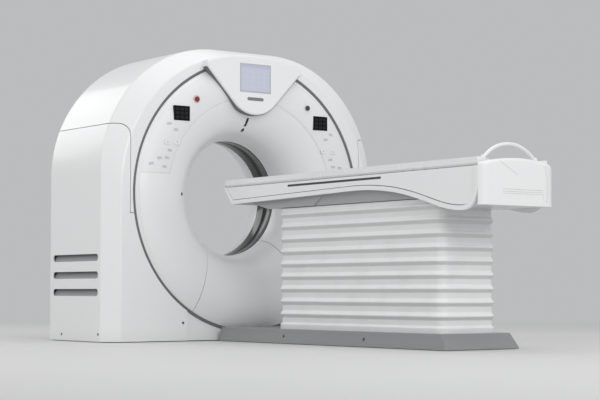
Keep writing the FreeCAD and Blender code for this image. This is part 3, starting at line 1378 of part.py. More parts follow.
def couch_beam():
    """The tray that carries the cradle rails, drawn as one section along the couch."""
    sheet, low, side = COUCH_BEAM_SHEET, COUCH_BEAM_Z, PANEL_INNER_X
    high = DECK_Z - COUCH_BEAM_TOP_GAP
    right = [(side, low), (side, high), (side - sheet, high), (side - sheet, low + sheet),
             (RAIL_X + RAIL_WIDTH, low + sheet), (RAIL_X + RAIL_WIDTH, RAIL_TOP_Z),
             (RAIL_X, RAIL_TOP_Z), (RAIL_X, low + sheet)]
    left = [(-x, z) for x, z in reversed(right)]
    tray = prism_y(right + left, COUCH_PANEL_END_Y, BEAM_FRONT_Y)
    drop = box((-side, side), (COUCH_PANEL_END_Y, DROP_FRONT_Y), (END_FLOOR_Z, low + 1))
    hollow = box((-side + sheet, side - sheet), (COUCH_PANEL_END_Y - 1, DROP_FRONT_Y - sheet),
                 (END_FLOOR_Z + sheet, low))
    return tray.fuse(drop.cut(hollow))


def side_outline(inset):
    """The side panel's (y, z) edges: nose, rising belly, falling curve and round foot."""
    def nose_y(z):
        return COUCH_TIP_Y - (CRADLE_TOP_Z - z) * NOSE_SLOPE - inset

    def at(y, z):
        return Vector(0, y, z)

    top, low = DECK_Z, NOSE_Z + inset
    crest = at(CREST_Y, CREST_Z + inset)
    foot = at(FOOT_Y, FOOT_Z + inset)
    curve = Part.BezierCurve()
    curve.setPoles([crest, crest - Vector(0, CREST_PULL, 0), foot + Vector(0, FOOT_PULL, 0), foot])
    bend = (FOOT_ROUND - inset) * math.sqrt(0.5)
    centre = at(FOOT_Y, FOOT_Z + FOOT_ROUND)
    rear = at(FOOT_Y - FOOT_ROUND + inset, FOOT_Z + FOOT_ROUND)
    edges = [Part.LineSegment(at(nose_y(top), top), at(nose_y(low), low)).toShape(),
             Part.LineSegment(at(nose_y(low), low), crest).toShape(),
             curve.toShape(),
             Part.Arc(foot, centre - Vector(0, bend, bend), rear).toShape(),
             Part.LineSegment(rear, at(rear.y, top)).toShape(),
             Part.LineSegment(at(rear.y, top), at(nose_y(top), top)).toShape()]
    return Part.Face(Part.Wire(edges))


def side_panel(side):
    """A couch side panel with its raised bead, the line inside it and the accessory groove."""
    full = Vector(PANEL_WALL + BEAD_PROUD, 0, 0)
    field = side_outline(BEAD_WIDTH).extrude(full)
    panel = side_outline(0.0).extrude(full).cut(field)
    panel = panel.fuse(side_outline(0.0).extrude(Vector(PANEL_WALL, 0, 0)))
    line = field.cut(side_outline(BEAD_WIDTH + BEAD_LINE).extrude(full))
    line.translate(Vector(PANEL_WALL - BEAD_LINE_DEPTH, 0, 0))
    panel = panel.cut(line)
    half = GROOVE_HEIGHT / 2
    groove = round_slot_x((PANEL_WALL - GROOVE_DEPTH, PANEL_WALL + 1),
                          (GROOVE_REAR_Y, GROOVE_FRONT_Y), (GROOVE_Z - half, GROOVE_Z + half))
    panel = panel.cut(groove)
    panel.translate(Vector(PANEL_INNER_X, 0, 0))
    return panel if side > 0 else mirror_x(panel)


def under_cover():
    """The moulded nose and under-tray, with the riser that hides the gap above the bellows."""
    half = PANEL_INNER_X
    wedge_y = BELLOWS_FRONT_Y - UNDER_COVER_REACH
    belly = NOSE_Z + UNDER_COVER_BELLY
    upper = prism_x([(DECK_TIP_Y, DECK_Z), (COUCH_NOSE_Y, NOSE_Z), (BELLOWS_FRONT_Y, NOSE_Z + 4),
                     (wedge_y, belly), (wedge_y, COUCH_BEAM_Z), (BEAM_FRONT_Y, COUCH_BEAM_Z),
                     (BEAM_FRONT_Y, DECK_Z)], -half, half)
    lower = prism_x([(COUCH_NOSE_Y - UNDER_COVER_LEAD, NOSE_Z + 2),
                     (BELLOWS_FRONT_Y + UNDER_COVER_SLANT, UNDER_COVER_Z),
                     (wedge_y + UNDER_COVER_SLANT, UNDER_COVER_Z), (wedge_y, belly + 1)],
                    -UNDER_COVER_HALF, UNDER_COVER_HALF)
    riser = box((-RISER_HALF, RISER_HALF), (DROP_FRONT_Y, wedge_y + UNDER_COVER_SLANT),
                (UNDER_COVER_Z, COUCH_BEAM_Z))
    room = RISER_HALF - RISER_WALL
    lift_room = box((-room, room), (DROP_FRONT_Y - 1, BELLOWS_FRONT_Y - 40),
                    (UNDER_COVER_Z - 10, COUCH_BEAM_Z + 1))
    back = BEAM_FRONT_Y - NOSE_ROOM_LENGTH
    nose_room = prism_x([(BEAM_FRONT_Y + 1, DECK_Z + 1), (BEAM_FRONT_Y + 1, COUCH_BEAM_Z),
                         (back, COUCH_BEAM_Z), (back, NOSE_Z + 10),
                         (COUCH_NOSE_Y - 12, NOSE_Z + 8), (DECK_TIP_Y - NOSE_WALL, DECK_Z - 8),
                         (DECK_TIP_Y - NOSE_WALL, DECK_Z + 1)],
                        -half + UNDER_COVER_WALL, half - UNDER_COVER_WALL)
    return without(joined([upper, lower, riser]), lift_room, nose_room)


def crowned(inset, y_from, y_to):
    """The couch's end section with a crowned top, as a solid along Y."""
    half = COUCH_HALF - inset
    floor, shoulder, crown = END_FLOOR_Z + inset, END_SHOULDER_Z - inset, END_CROWN_Z - inset
    return prism_y([(-half, floor), (half, floor), (half, shoulder), ((0, crown), (-half, shoulder))],
                   y_from, y_to)


def end_plan():
    """The end cap seen from above: a flat end with a quarter ellipse at each corner."""
    half, rear, front = COUCH_HALF, COUCH_END_Y, COUCH_PANEL_END_Y
    flat = half - END_CORNER_X
    z = END_FLOOR_Z

    def corner(x, start):
        ellipse = Part.Ellipse(Vector(x, front, z), END_CORNER_X, front - rear)
        return Part.ArcOfEllipse(ellipse, start, start + math.pi / 2).toShape()

    left, right = corner(-flat, math.pi), corner(flat, 1.5 * math.pi)
    end = Part.LineSegment(Vector(-flat, rear, z), Vector(flat, rear, z)).toShape()
    joint = Part.LineSegment(Vector(half, front, z), Vector(-half, front, z)).toShape()
    return Part.Face(Part.Wire([left, end, right, joint]))


def end_cover():
    """The hollow end cap of the couch, with a rounded top edge and a grip recess."""
    rear, front = COUCH_END_Y, COUCH_PANEL_END_Y
    body = end_plan().extrude(Vector(0, 0, END_CROWN_Z - END_FLOOR_Z)).common(crowned(0.0, rear, front))
    rim = [edge for edge in body.Edges
           if edge.BoundBox.YMin < front - 1 and edge.BoundBox.ZMin > END_SHOULDER_Z - 1]
    body = body.makeFillet(END_ROUND, rim)
    room = COUCH_HALF - END_CORNER_X + END_WALL
    hollow = crowned(END_WALL + END_ROUND / 2, rear + 2 * END_WALL, front + 1).common(
        box((-room, room), (rear, front + 1), (0, END_CROWN_Z)))
    grip = box((GRIP_LEFT_X, GRIP_RIGHT_X), (rear - 1, rear + GRIP_DEPTH), (GRIP_LOW_Z, GRIP_HIGH_Z))
    return without(body, hollow, grip)


def cradle_drive():
    """The cradle's gear motor and toothed-belt track, along the middle of the tray."""
    low = COUCH_BEAM_Z + COUCH_BEAM_SHEET
    rear, front = COUCH_PANEL_END_Y + DRIVE_END, COUCH_NOSE_Y - DRIVE_NOSE_GAP
    gear_end = rear + GEAR_LENGTH
    track = box((-TRACK_HALF, TRACK_HALF), (rear, front), (low, low + TRACK_HEIGHT))
    gear = box((-GEAR_HALF, GEAR_HALF), (rear, gear_end), (low, low + GEAR_HEIGHT))
    motor = bar_x(GEAR_MOTOR_R, (TRACK_HALF, TRACK_HALF + GEAR_MOTOR_LENGTH), rear + GEAR_LENGTH / 2,
                  low + GEAR_HEIGHT / 2)
    belt = box((-CRADLE_BELT_HALF, CRADLE_BELT_HALF), (gear_end - 10, front - 20),
               (low + TRACK_HEIGHT, low + TRACK_HEIGHT + CRADLE_BELT_HEIGHT))
    return joined([track, gear, motor, belt])


def cradle_plan():
    """The cradle seen from above, with both nose corners rounded."""
    half, radius = CRADLE_HALF, CRADLE_NOSE_R
    corner = radius * (1 - math.sqrt(0.5))

    def at(x, y):
        return Vector(x, y, CRADLE_Z - 1)

    tip = COUCH_TIP_Y
    return face_of([at(-half, CRADLE_REAR_Y), at(half, CRADLE_REAR_Y), at(half, tip - radius),
                    (at(half - corner, tip - corner), at(half - radius, tip)),
                    at(-half + radius, tip),
                    (at(-half + corner, tip - corner), at(-half, tip - radius))])


def cradle():
    """The patient cradle: a shallow trough with a rounded, slanted nose and runners below."""
    half, top = CRADLE_HALF, CRADLE_TOP_Z
    flat, low_side = half - CRADLE_CHAMFER, CRADLE_Z + CRADLE_CHAMFER
    trough = half - CRADLE_RIM
    path = [(-flat, CRADLE_Z), (flat, CRADLE_Z), (half, low_side), (half, top), (trough, top),
            ((0, top - CRADLE_TROUGH), (-trough, top)), (-half, top), (-half, low_side)]
    body = prism_y(path, CRADLE_REAR_Y, COUCH_TIP_Y)
    body = body.common(cradle_plan().extrude(Vector(0, 0, top - CRADLE_Z + 10)))
    nose_low = COUCH_TIP_Y - (top - CRADLE_Z) * NOSE_SLOPE
    slant = prism_x([(COUCH_TIP_Y, top), (COUCH_TIP_Y + 5, top + 5), (COUCH_TIP_Y + 5, CRADLE_Z - 1),
                     (nose_low - NOSE_SLOPE, CRADLE_Z - 1)], -half - 1, half + 1)
    body = body.cut(slant)
    start = CRADLE_REAR_Y + RUNNER_END
    runners = [box(side_span(side, RAIL_X, RAIL_X + RAIL_WIDTH), (start, start + RUNNER_LENGTH),
                   (RAIL_TOP_Z + RUNNING_GAP, CRADLE_Z + 1)) for side in (-1, 1)]
    return without(joined([body] + runners), *hoop_feet())


def hoop_feet():
    """The two upright feet of the push handle, sunk into the cradle."""
    base_z = CRADLE_TOP_Z - HOOP_FOOT_SUNK
    return [Part.makeCylinder(HOOP_FOOT_R, HOOP_FOOT_LENGTH, Vector(side * HOOP_HALF, HOOP_Y, base_z))
            for side in (-1, 1)]


def hoop_handle():
    """The push handle at the foot end of the cradle, a bar bent to an arc between two feet."""
    radius = (HOOP_HALF ** 2 + HOOP_RISE ** 2) / (2 * HOOP_RISE)
    crown = CRADLE_TOP_Z - 5 + HOOP_RISE
    centre = Vector(0, HOOP_Y, crown - radius)
    half_angle = math.degrees(math.asin(HOOP_HALF / radius))
    circle = Part.Wire(Part.makeCircle(HOOP_R, centre + Vector(radius, 0, 0), ALONG_Z))
    arc = Part.Face(circle).revolve(centre, ALONG_Y, -2 * half_angle)
    arc.rotate(centre, ALONG_Y, -(90 - half_angle))
    return joined([arc] + hoop_feet())


# ---------------------------------------------------------------- all nodes

def gantry_nodes():
    shell = housing_shell()
    left_cover = left_side_cover(shell)
    return {
        "gantry_base": gantry_base(), "main_frame": main_frame(),
        "bearing_outer_race": bearing_outer_race(), "top_shroud": top_shroud(shell),
        "left_side_cover": left_cover, "right_side_cover": right_side_cover(left_cover),
        "plinth_cover": plinth_cover(), "rear_cover": rear_cover(),
        "front_cover": front_cover(), "lower_front_cover": lower_front_cover(),
        "front_seal_ring": front_seal_ring(), "scan_window_ring": scan_window_ring(),
        "console_housing": console_housing(), "console_screen": console_screen(),
        "left_control_panel": control_panel(-1), "right_control_panel": control_panel(1),
        "left_position_display": position_display(-1),
        "right_position_display": position_display(1),
        "laser_windows": laser_windows(), "cover_screws": cover_screws(),
        "drive_motor": drive_motor(), "drive_belt": drive_belt(), "brush_block": brush_block(),
        "fan_housing": fan_housing(), "cooling_fan": cooling_fan(), "drive_pulley": drive_pulley(),
        "emergency_stop_button": stop_button(-1), "intercom_button": stop_button(1),
        "couch_down_key": control_key(-1, 0), "couch_up_key": control_key(-1, 1),
        "cradle_in_key": control_key(1, 0), "cradle_out_key": control_key(1, 1),
    }


def rotor_nodes():
    return {
        "rotor_drum": rotor_drum(), "bearing_inner_race": bearing_inner_race(),
        "slip_ring": slip_ring(), "xray_tube": xray_tube(), "collimator": collimator(),
        "detector_arc": detector_arc(), "data_modules": data_modules(),
        "hv_generator": hv_generator(), "tube_cooler": tube_cooler(),
        "balance_weight": balance_weight(),
    }


def couch_nodes():
    return {
        "couch_base": couch_base(), "base_skirt": base_skirt(), "bellows": bellows(),
        "outer_scissor_frame": outer_scissor_frame(), "inner_scissor_frame": inner_scissor_frame(),
        "lift_cylinder": lift_cylinder(), "lift_mid_stage": lift_mid_stage(),
        "lift_ram": lift_ram(), "hydraulic_unit": hydraulic_unit(),
        "lift_platform": lift_platform(), "couch_beam": couch_beam(),
        "left_side_panel": side_panel(-1), "right_side_panel": side_panel(1),
        "under_cover": under_cover(), "end_cover": end_cover(), "cradle_drive": cradle_drive(),
        "cradle": cradle(), "hoop_handle": hoop_handle(),
    }


def main():
    os.makedirs("parts", exist_ok=True)
    nodes = {**gantry_nodes(), **rotor_nodes(), **couch_nodes()}
    for name, shape in nodes.items():
        shape.exportStep(os.path.join("parts", name + ".step"))
        solids = len(shape.Solids)
        print(f"{name}: {solids} solid(s), {shape.Volume / 1e6:.2f} litres, valid {shape.isValid()}")


main()
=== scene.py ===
"""Studio scene of the CT scanner: the finishes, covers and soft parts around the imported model."""

from __future__ import annotations

import logging
import math
from contextlib import contextmanager
from dataclasses import dataclass, field
from enum import Enum
from typing import Any, Callable, Iterable, Iterator, Mapping, Sequence, Union

import bmesh
import bpy
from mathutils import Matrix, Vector
from mathutils.bvhtree import BVHTree
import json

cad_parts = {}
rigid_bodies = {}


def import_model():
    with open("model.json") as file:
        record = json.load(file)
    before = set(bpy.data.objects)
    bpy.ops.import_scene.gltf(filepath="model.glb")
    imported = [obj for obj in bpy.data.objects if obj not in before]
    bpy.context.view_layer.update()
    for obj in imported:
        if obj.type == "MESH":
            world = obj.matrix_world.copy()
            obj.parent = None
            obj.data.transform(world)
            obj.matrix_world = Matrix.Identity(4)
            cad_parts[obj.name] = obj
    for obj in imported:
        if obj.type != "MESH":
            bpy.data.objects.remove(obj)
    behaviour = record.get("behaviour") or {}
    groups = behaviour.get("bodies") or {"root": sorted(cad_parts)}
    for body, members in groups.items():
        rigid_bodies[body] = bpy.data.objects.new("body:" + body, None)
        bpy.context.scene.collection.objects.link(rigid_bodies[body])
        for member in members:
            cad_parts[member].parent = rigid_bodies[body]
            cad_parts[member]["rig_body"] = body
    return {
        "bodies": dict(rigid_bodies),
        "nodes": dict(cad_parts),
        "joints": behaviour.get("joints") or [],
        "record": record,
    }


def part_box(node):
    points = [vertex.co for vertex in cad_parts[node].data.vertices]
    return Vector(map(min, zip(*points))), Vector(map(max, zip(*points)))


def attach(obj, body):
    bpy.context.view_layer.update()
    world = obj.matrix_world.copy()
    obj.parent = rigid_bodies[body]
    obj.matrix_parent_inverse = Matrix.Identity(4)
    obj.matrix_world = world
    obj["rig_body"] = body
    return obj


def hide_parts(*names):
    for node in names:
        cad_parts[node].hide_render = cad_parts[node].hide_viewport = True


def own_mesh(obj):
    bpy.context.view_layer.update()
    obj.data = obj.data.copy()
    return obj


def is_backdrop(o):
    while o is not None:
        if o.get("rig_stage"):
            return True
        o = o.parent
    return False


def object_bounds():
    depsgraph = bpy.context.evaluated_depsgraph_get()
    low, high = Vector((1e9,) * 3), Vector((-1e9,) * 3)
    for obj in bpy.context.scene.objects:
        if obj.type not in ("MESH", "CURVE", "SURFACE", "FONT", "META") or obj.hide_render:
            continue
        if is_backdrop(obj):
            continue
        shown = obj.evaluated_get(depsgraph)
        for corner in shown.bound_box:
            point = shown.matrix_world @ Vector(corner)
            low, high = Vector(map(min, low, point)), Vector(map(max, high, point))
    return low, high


log = logging.getLogger("ct_scanner")

Colour = tuple[float, float, float]
Place = tuple[float, float, float]
Profile = list[tuple[float, float]]
Socket = bpy.types.NodeSocket
Value = Union[Socket, float, tuple[float, ...]]
Inputs = Mapping[str | int, object]

FIXED_BODY = "scanner_frame"
NODE_GAP = 200
WELD = 2e-6
FLAT = math.radians(0.4)


class Slot(Enum):
    """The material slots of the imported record."""

    WHITE_COVER = "white_cover"
    OVERLAY = "overlay"
    GREY_COVER = "grey_cover"
    SEAL = "seal"
    WINDOW = "window"
    SCREEN = "screen"
    LASER_WINDOW = "laser_window"
    STOP_RED = "stop_red"
    BUTTON_BLACK = "button_black"
    FRAME_PAINT = "frame_paint"
    BEARING_STEEL = "bearing_steel"
    UNIT_PAINT = "unit_paint"
    DARK_UNIT = "dark_unit"
    LIGHT_ALLOY = "light_alloy"
    BOARD = "board"
    INSULATOR = "insulator"
    FAN_PLASTIC = "fan_plastic"
    BELLOWS_SKIN = "bellows_skin"
    CRADLE_SHELL = "cradle_shell"
    HANDLE = "handle"


# ---------------------------------------------------------------- node trees


def rgba(colour: Colour) -> tuple[float, float, float, float]:
    """A colour with full alpha."""
    return (*colour, 1.0)


class Sketch:
    """Adds nodes to one tree and joins them by socket."""

    def __init__(self, tree: bpy.types.NodeTree) -> None:
        """Keeps the shader or geometry tree that the nodes go into."""
        self.tree = tree

    def fill(self, node: bpy.types.Node, inputs: Inputs) -> None:
        """Gives a node's inputs their values.

        Args:
            node: The node.
            inputs: Values, colours or sockets, by the input's name or index.
        """
        for key, value in inputs.items():
            socket = node.inputs[key]
            if isinstance(value, Socket):
                self.tree.links.new(value, socket)
            else:
                socket.default_value = rgba(value) if socket.type == "RGBA" else value

    def node(self, kind: str, inputs: Inputs | None = None, **settings: object) -> bpy.types.Node:
        """Adds a node.

        Args:
            kind: The node's type name.
            inputs: Values or sockets for its inputs, by name or index.
            settings: Attributes of the node itself.

        Returns:
            The new node.
        """
        node = self.tree.nodes.new(kind)
        for name, value in settings.items():
            setattr(node, name, value)
        self.fill(node, inputs or {})
        node.location = (NODE_GAP * len(self.tree.nodes), 0)
        return node

    def out(self, kind: str, inputs: Inputs | None = None, output: str | int = 0,
            **settings: object) -> Socket:
        """Adds a node and returns one of its outputs."""
        return self.node(kind, inputs, **settings).outputs[output]

    def math(self, operation: str, first: Value, second: Value = 0.0, third: Value = 0.0) -> Socket:
        """Adds a math node and returns its value."""
        return self.out("ShaderNodeMath", {0: first, 1: second, 2: third}, operation=operation)

    def product(self, first: Value, second: Value) -> Socket:
        """Multiplies two values."""
        return self.math("MULTIPLY", first, second)

    def difference(self, first: Value, second: Value) -> Socket:
        """Takes the second value from the first."""
        return self.math("SUBTRACT", first, second)

    def vector_math(self, operation: str, first: Value, second: Value = (0.0, 0.0, 0.0),
                    output: str | int = 0) -> Socket:
        """Adds a vector math node and returns its vector, or its Value output if that is asked for."""
        return self.out("ShaderNodeVectorMath", {0: first, 1: second}, output, operation=operation)

    def part(self, vector: Value, index: int) -> Socket:
        """One coordinate of a vector."""
        return self.out("ShaderNodeSeparateXYZ", {0: vector}, index)

    def vector(self, x: Value = 0.0, y: Value = 0.0, z: Value = 0.0) -> Socket:
        """A vector from its three coordinates."""
        return self.out("ShaderNodeCombineXYZ", {0: x, 1: y, 2: z})

    def noise(self, place: Socket, scale: Value, detail: float, roughness: float = 0.5) -> Socket:
        """A noise texture's value."""
        return self.out("ShaderNodeTexNoise", {"Vector": place, "Scale": scale, "Detail": detail,
                                               "Roughness": roughness})

    def remap(self, value: Value, low: float, high: float, to_low: Value, to_high: Value) -> Socket:
        """Maps a range smoothly to another and returns the value."""
        ends = {"Value": value, "From Min": low, "From Max": high, "To Min": to_low, "To Max": to_high}
        return self.out("ShaderNodeMapRange", ends, "Result", interpolation_type="SMOOTHSTEP")

    def mixed(self, share: Value, first: Value, second: Value) -> Socket:
        """Mixes two colours by a share and returns the colour."""
        return self.out("ShaderNodeMix", {0: share, 6: first, 7: second}, 2, data_type="RGBA")

    def within(self, value: Socket, centre: float, half: float, soft: float) -> Socket:
        """A mask that is 1 where a value lies within a half width of a centre."""
        away = self.math("ABSOLUTE", self.difference(value, centre))
        return self.remap(away, half - soft, half + soft, 1.0, 0.0)

    def repeat(self, value: Socket, pitch: float, half: float, soft: float) -> Socket:
        """A mask of cells along a value, centred on zero, with widths as shares of the pitch."""
        step = self.math("FRACT", self.math("MULTIPLY_ADD", value, 1 / pitch, 0.5))
        return self.within(step, 0.5, half, soft)

    def from_axis(self, place: Socket, height: float) -> Socket:
        """The distance from an axis along Y at a height.

        Args:
            place: Object coordinates.
            height: The height of the axis.

        Returns:
            The distance.
        """
        shifted = self.vector_math("SUBTRACT", place, (0.0, 0.0, height))
        flat = self.vector_math("MULTIPLY", shifted, (1.0, 0.0, 1.0))
        return self.vector_math("LENGTH", flat, output="Value")


class GroupSketch(Sketch):
    """The inside of a node group, between its own inputs and outputs."""

    def __init__(self, tree: bpy.types.NodeTree) -> None:
        """Adds the nodes of the group's inputs and outputs.

        Args:
            tree: The group's tree.
        """
        super().__init__(tree)
        self.given = self.node("NodeGroupInput").outputs
        self.result = self.node("NodeGroupOutput")

    def give(self, **values: Socket) -> None:
        """Joins sockets to the group's outputs, by name."""
        self.fill(self.result, values)


class NodeGroup:
    """A node tree with named inputs and outputs, built at its first use."""

    name: str = ""
    tree_kind: str = "ShaderNodeTree"
    inputs: tuple[tuple[str, str, object], ...] = ()
    outputs: tuple[tuple[str, str], ...] = ()

    def tree(self) -> bpy.types.NodeTree:
        """Finds or builds the tree.

        Returns:
            The node tree.
        """
        found = bpy.data.node_groups.get(self.name)
        if found is not None:
            return found
        tree = bpy.data.node_groups.new(self.name, self.tree_kind)
        for label, kind, value in self.inputs:
            socket = tree.interface.new_socket(label, in_out="INPUT", socket_type="NodeSocket" + kind)
            if value is not None:
                socket.default_value = value
        for label, kind in self.outputs:
            tree.interface.new_socket(label, in_out="OUTPUT", socket_type="NodeSocket" + kind)
        self.draw(GroupSketch(tree))
        return tree

    def draw(self, plan: GroupSketch) -> None:
        """Draws the tree between its input and output nodes."""
        raise NotImplementedError


class EffectGroup(NodeGroup):
    """A shader node group that several finishes share."""

    def use(self, sketch: Sketch, inputs: Inputs) -> Mapping[str, Socket]:
        """Places the group in a material and returns its outputs."""
        return sketch.node("ShaderNodeGroup", inputs, node_tree=self.tree()).outputs


class GelCoatRipple(EffectGroup):
    """The slow ripple and fine orange peel of a sprayed or moulded gloss surface."""

    name = "gel_coat_ripple"
    inputs = (("Vector", "Vector", None), ("Ripple", "Float", 9.0), ("Peel", "Float", 420.0),
              ("Peel Share", "Float", 0.12))
    outputs = (("Height", "Float"),)

    def draw(self, plan: GroupSketch) -> None:
        """Adds a coarse and a fine noise.

        Args:
            plan: The group's tree.
        """
        slow = plan.noise(plan.given["Vector"], plan.given["Ripple"], 1.0)
        fine = plan.noise(plan.given["Vector"], plan.given["Peel"], 2.0)
        plan.give(Height=plan.math("ADD", slow, plan.product(fine, plan.given["Peel Share"])))


class Handling(EffectGroup):
    """Faint smears from wiping and handling, and dust that settles near the floor."""

    name = "handling"
    inputs = (("Vector", "Vector", None), ("Clean", "Color", (0.8, 0.8, 0.8, 1.0)),
              ("Dusty", "Color", (0.6, 0.58, 0.55, 1.0)), ("Dust Height", "Float", 0.16),
              ("Strength", "Float", 0.3))
    outputs = (("Colour", "Color"), ("Smear", "Float"))

    def draw(self, plan: GroupSketch) -> None:
        """Mixes a cloudy smear and a floor gradient into the clean colour.

        Args:
            plan: The group's tree.
        """
        place = plan.given["Vector"]
        cloud = plan.noise(place, 3.2, 5.0, 0.62)
        streak = plan.noise(plan.vector_math("MULTIPLY", place, (26.0, 26.0, 2.4)), 1.0, 3.0)
        smear = plan.product(plan.remap(cloud, 0.42, 0.72, 0.0, 1.0),
                             plan.remap(streak, 0.35, 0.75, 0.35, 1.0))
        level = plan.math("DIVIDE", plan.part(place, 2), plan.given["Dust Height"])
        near_floor = plan.remap(level, 0.0, 1.0, 0.7, 0.0)
        amount = plan.math("ADD", near_floor, plan.product(smear, 0.06))
        share = plan.product(amount, plan.given["Strength"])
        plan.give(Colour=plan.mixed(share, plan.given["Clean"], plan.given["Dusty"]), Smear=smear)


class MouldGrain(EffectGroup):
    """The fine pebbled grain of moulded plastic, textured paint and cast metal."""

    name = "mould_grain"
    inputs = (("Vector", "Vector", None), ("Scale", "Float", 900.0))
    outputs = (("Height", "Float"), ("Fleck", "Float"))

    def draw(self, plan: GroupSketch) -> None:
        """Layers rounded cells over noise.

        Args:
            plan: The group's tree.
        """
        place, scale = plan.given["Vector"], plan.given["Scale"]
        cell = plan.out("ShaderNodeTexVoronoi", {"Vector": place, "Scale": scale}, feature="SMOOTH_F1")
        noise = plan.noise(place, scale, 3.0)
        plan.give(Height=plan.math("MULTIPLY_ADD", cell, -0.7, noise),
                  Fleck=plan.remap(noise, 0.3, 0.7, 0.0, 1.0))


class Brushing(EffectGroup):
    """Fine lines left by turning, grinding or brushing along one axis."""

    name = "brushing"
    inputs = (("Vector", "Vector", None), ("Stretch", "Vector", (900.0, 900.0, 20.0)))
    outputs = (("Line", "Float"),)

    def draw(self, plan: GroupSketch) -> None:
        """Stretches a noise into lines."""
        drawn = plan.vector_math("MULTIPLY", plan.given["Vector"], plan.given["Stretch"])
        plan.give(Line=plan.noise(drawn, 1.0, 4.0))


class Weave(EffectGroup):
    """A plain weave of two sets of threads on the faces of an upright piece."""

    name = "weave"
    inputs = (("Vector", "Vector", None), ("Threads", "Float", 1100.0))
    outputs = (("Height", "Float"), ("Thread", "Float"))

    def draw(self, plan: GroupSketch) -> None:
        """Crosses a wave along the piece with one up the piece.

        Args:
            plan: The group's tree.
        """
        place, threads = plan.given["Vector"], plan.given["Threads"]
        round_it = plan.math("ADD", plan.part(place, 0), plan.part(place, 1))
        along = plan.math("SINE", plan.product(round_it, threads))
        up = plan.math("SINE", plan.product(plan.part(place, 2), threads))
        crossed = plan.product(along, up)
        plan.give(Height=crossed, Thread=plan.remap(crossed, -1.0, 1.0, 0.0, 1.0))


RIPPLE = GelCoatRipple()
HANDLING = Handling()
GRAIN = MouldGrain()
BRUSHING = Brushing()
WEAVE = Weave()


# ---------------------------------------------------------------- finishes


def new_material(name: str) -> bpy.types.Material:
    """A material with an empty node tree.

    Args:
        name: Its name.

    Returns:
        The material.
    """
    made = bpy.data.materials.new(name)
    made.use_nodes = True
    made.node_tree.nodes.clear()
    return made


class Surface(Sketch):
    """A material's tree, with its shader and the object coordinates of the surface."""

    def __init__(self, tree: bpy.types.NodeTree, values: Inputs) -> None:
        """Adds the shader, its output and the coordinates.

        Args:
            tree: The material's tree.
            values: The shader's values that are the same all over the surface.
        """
        super().__init__(tree)
        self.shader = self.node("ShaderNodeBsdfPrincipled", values)
        self.place = self.out("ShaderNodeTexCoord", output="Object")
        self.node("ShaderNodeOutputMaterial", {"Surface": self.shader.outputs[0]})

    def paint(self, colour: Socket) -> None:
        """Feeds the shader's base colour."""
        self.fill(self.shader, {"Base Color": colour})

    def sheen(self, rough: Socket) -> None:
        """Feeds the shader's roughness."""
        self.fill(self.shader, {"Roughness": rough})

    def height(self, axis: int = 2) -> Socket:
        """The surface's height, or another of its coordinates."""
        return self.part(self.place, axis)

    def upright(self) -> Socket:
        """The coordinates turned so that a pattern on X and Y lies on an upright face."""
        quarter = (math.pi / 2, 0.0, 0.0)
        return self.out("ShaderNodeMapping", {"Vector": self.place, "Rotation": quarter})


@dataclass(frozen=True)
class Finish:
    """A surface finish, with the values that are the same all over it."""

    name: str
    colour: Colour
    roughness: float = 0.5
    metallic: float = 0.0
    coat: float = 0.0
    coat_roughness: float = 0.05
    specular: float = 0.5
    bump: float = 0.1
    relief: float = 0.0002

    def material(self) -> bpy.types.Material:
        """Finds or builds the finish as a material.

        Returns:
            The material.
        """
        found = bpy.data.materials.get(self.name)
        if found is not None:
            return found
        made = new_material(self.name)
        made.diffuse_color = rgba(self.colour)
        self.dress(Surface(made.node_tree, {
            "Base Color": self.colour, "Roughness": self.roughness, "Metallic": self.metallic,
            "Coat Weight": self.coat, "Coat Roughness": self.coat_roughness,
            "Specular IOR Level": self.specular}))
        return made

    def dress(self, skin: Surface) -> None:
        """Adds what varies over the surface."""
        raise NotImplementedError

    def emboss(self, skin: Surface, height: Socket) -> None:
        """Feeds a height over the surface into the shader's normal."""
        bump = skin.out("ShaderNodeBump", {"Strength": self.bump, "Distance": self.relief,
                                           "Height": height})
        skin.fill(skin.shader, {"Normal": bump})

    def ripple(self, skin: Surface) -> None:
        """Embosses the gloss coat's ripple."""
        self.emboss(skin, RIPPLE.use(skin, {"Vector": skin.place})["Height"])

    def worn_gloss(self, skin: Surface, used: Mapping[str, Socket], spread: float) -> None:
        """Makes a rippled gloss a little rougher where it is smeared."""
        skin.sheen(skin.remap(used["Smear"], 0.0, 1.0, self.roughness, self.roughness + spread))
        self.ripple(skin)


@dataclass(frozen=True)
class MouldedCover(Finish):
    """A gloss-coated moulded cover that is wiped down, with dust at its foot."""

    dusty: Colour = (0.60, 0.59, 0.57)
    dust_height: float = 0.10
    wear: float = 0.20

    def dress(self, skin: Surface) -> None:
        """Adds smears, foot dust, a roughness that follows them and the coat's ripple.

        Args:
            skin: The surface to dress.
        """
        used = HANDLING.use(skin, {"Vector": skin.place, "Clean": self.colour,
                                   "Dusty": self.dusty, "Dust Height": self.dust_height,
                                   "Strength": self.wear})
        skin.paint(used["Colour"])
        self.worn_gloss(skin, used, 0.04)


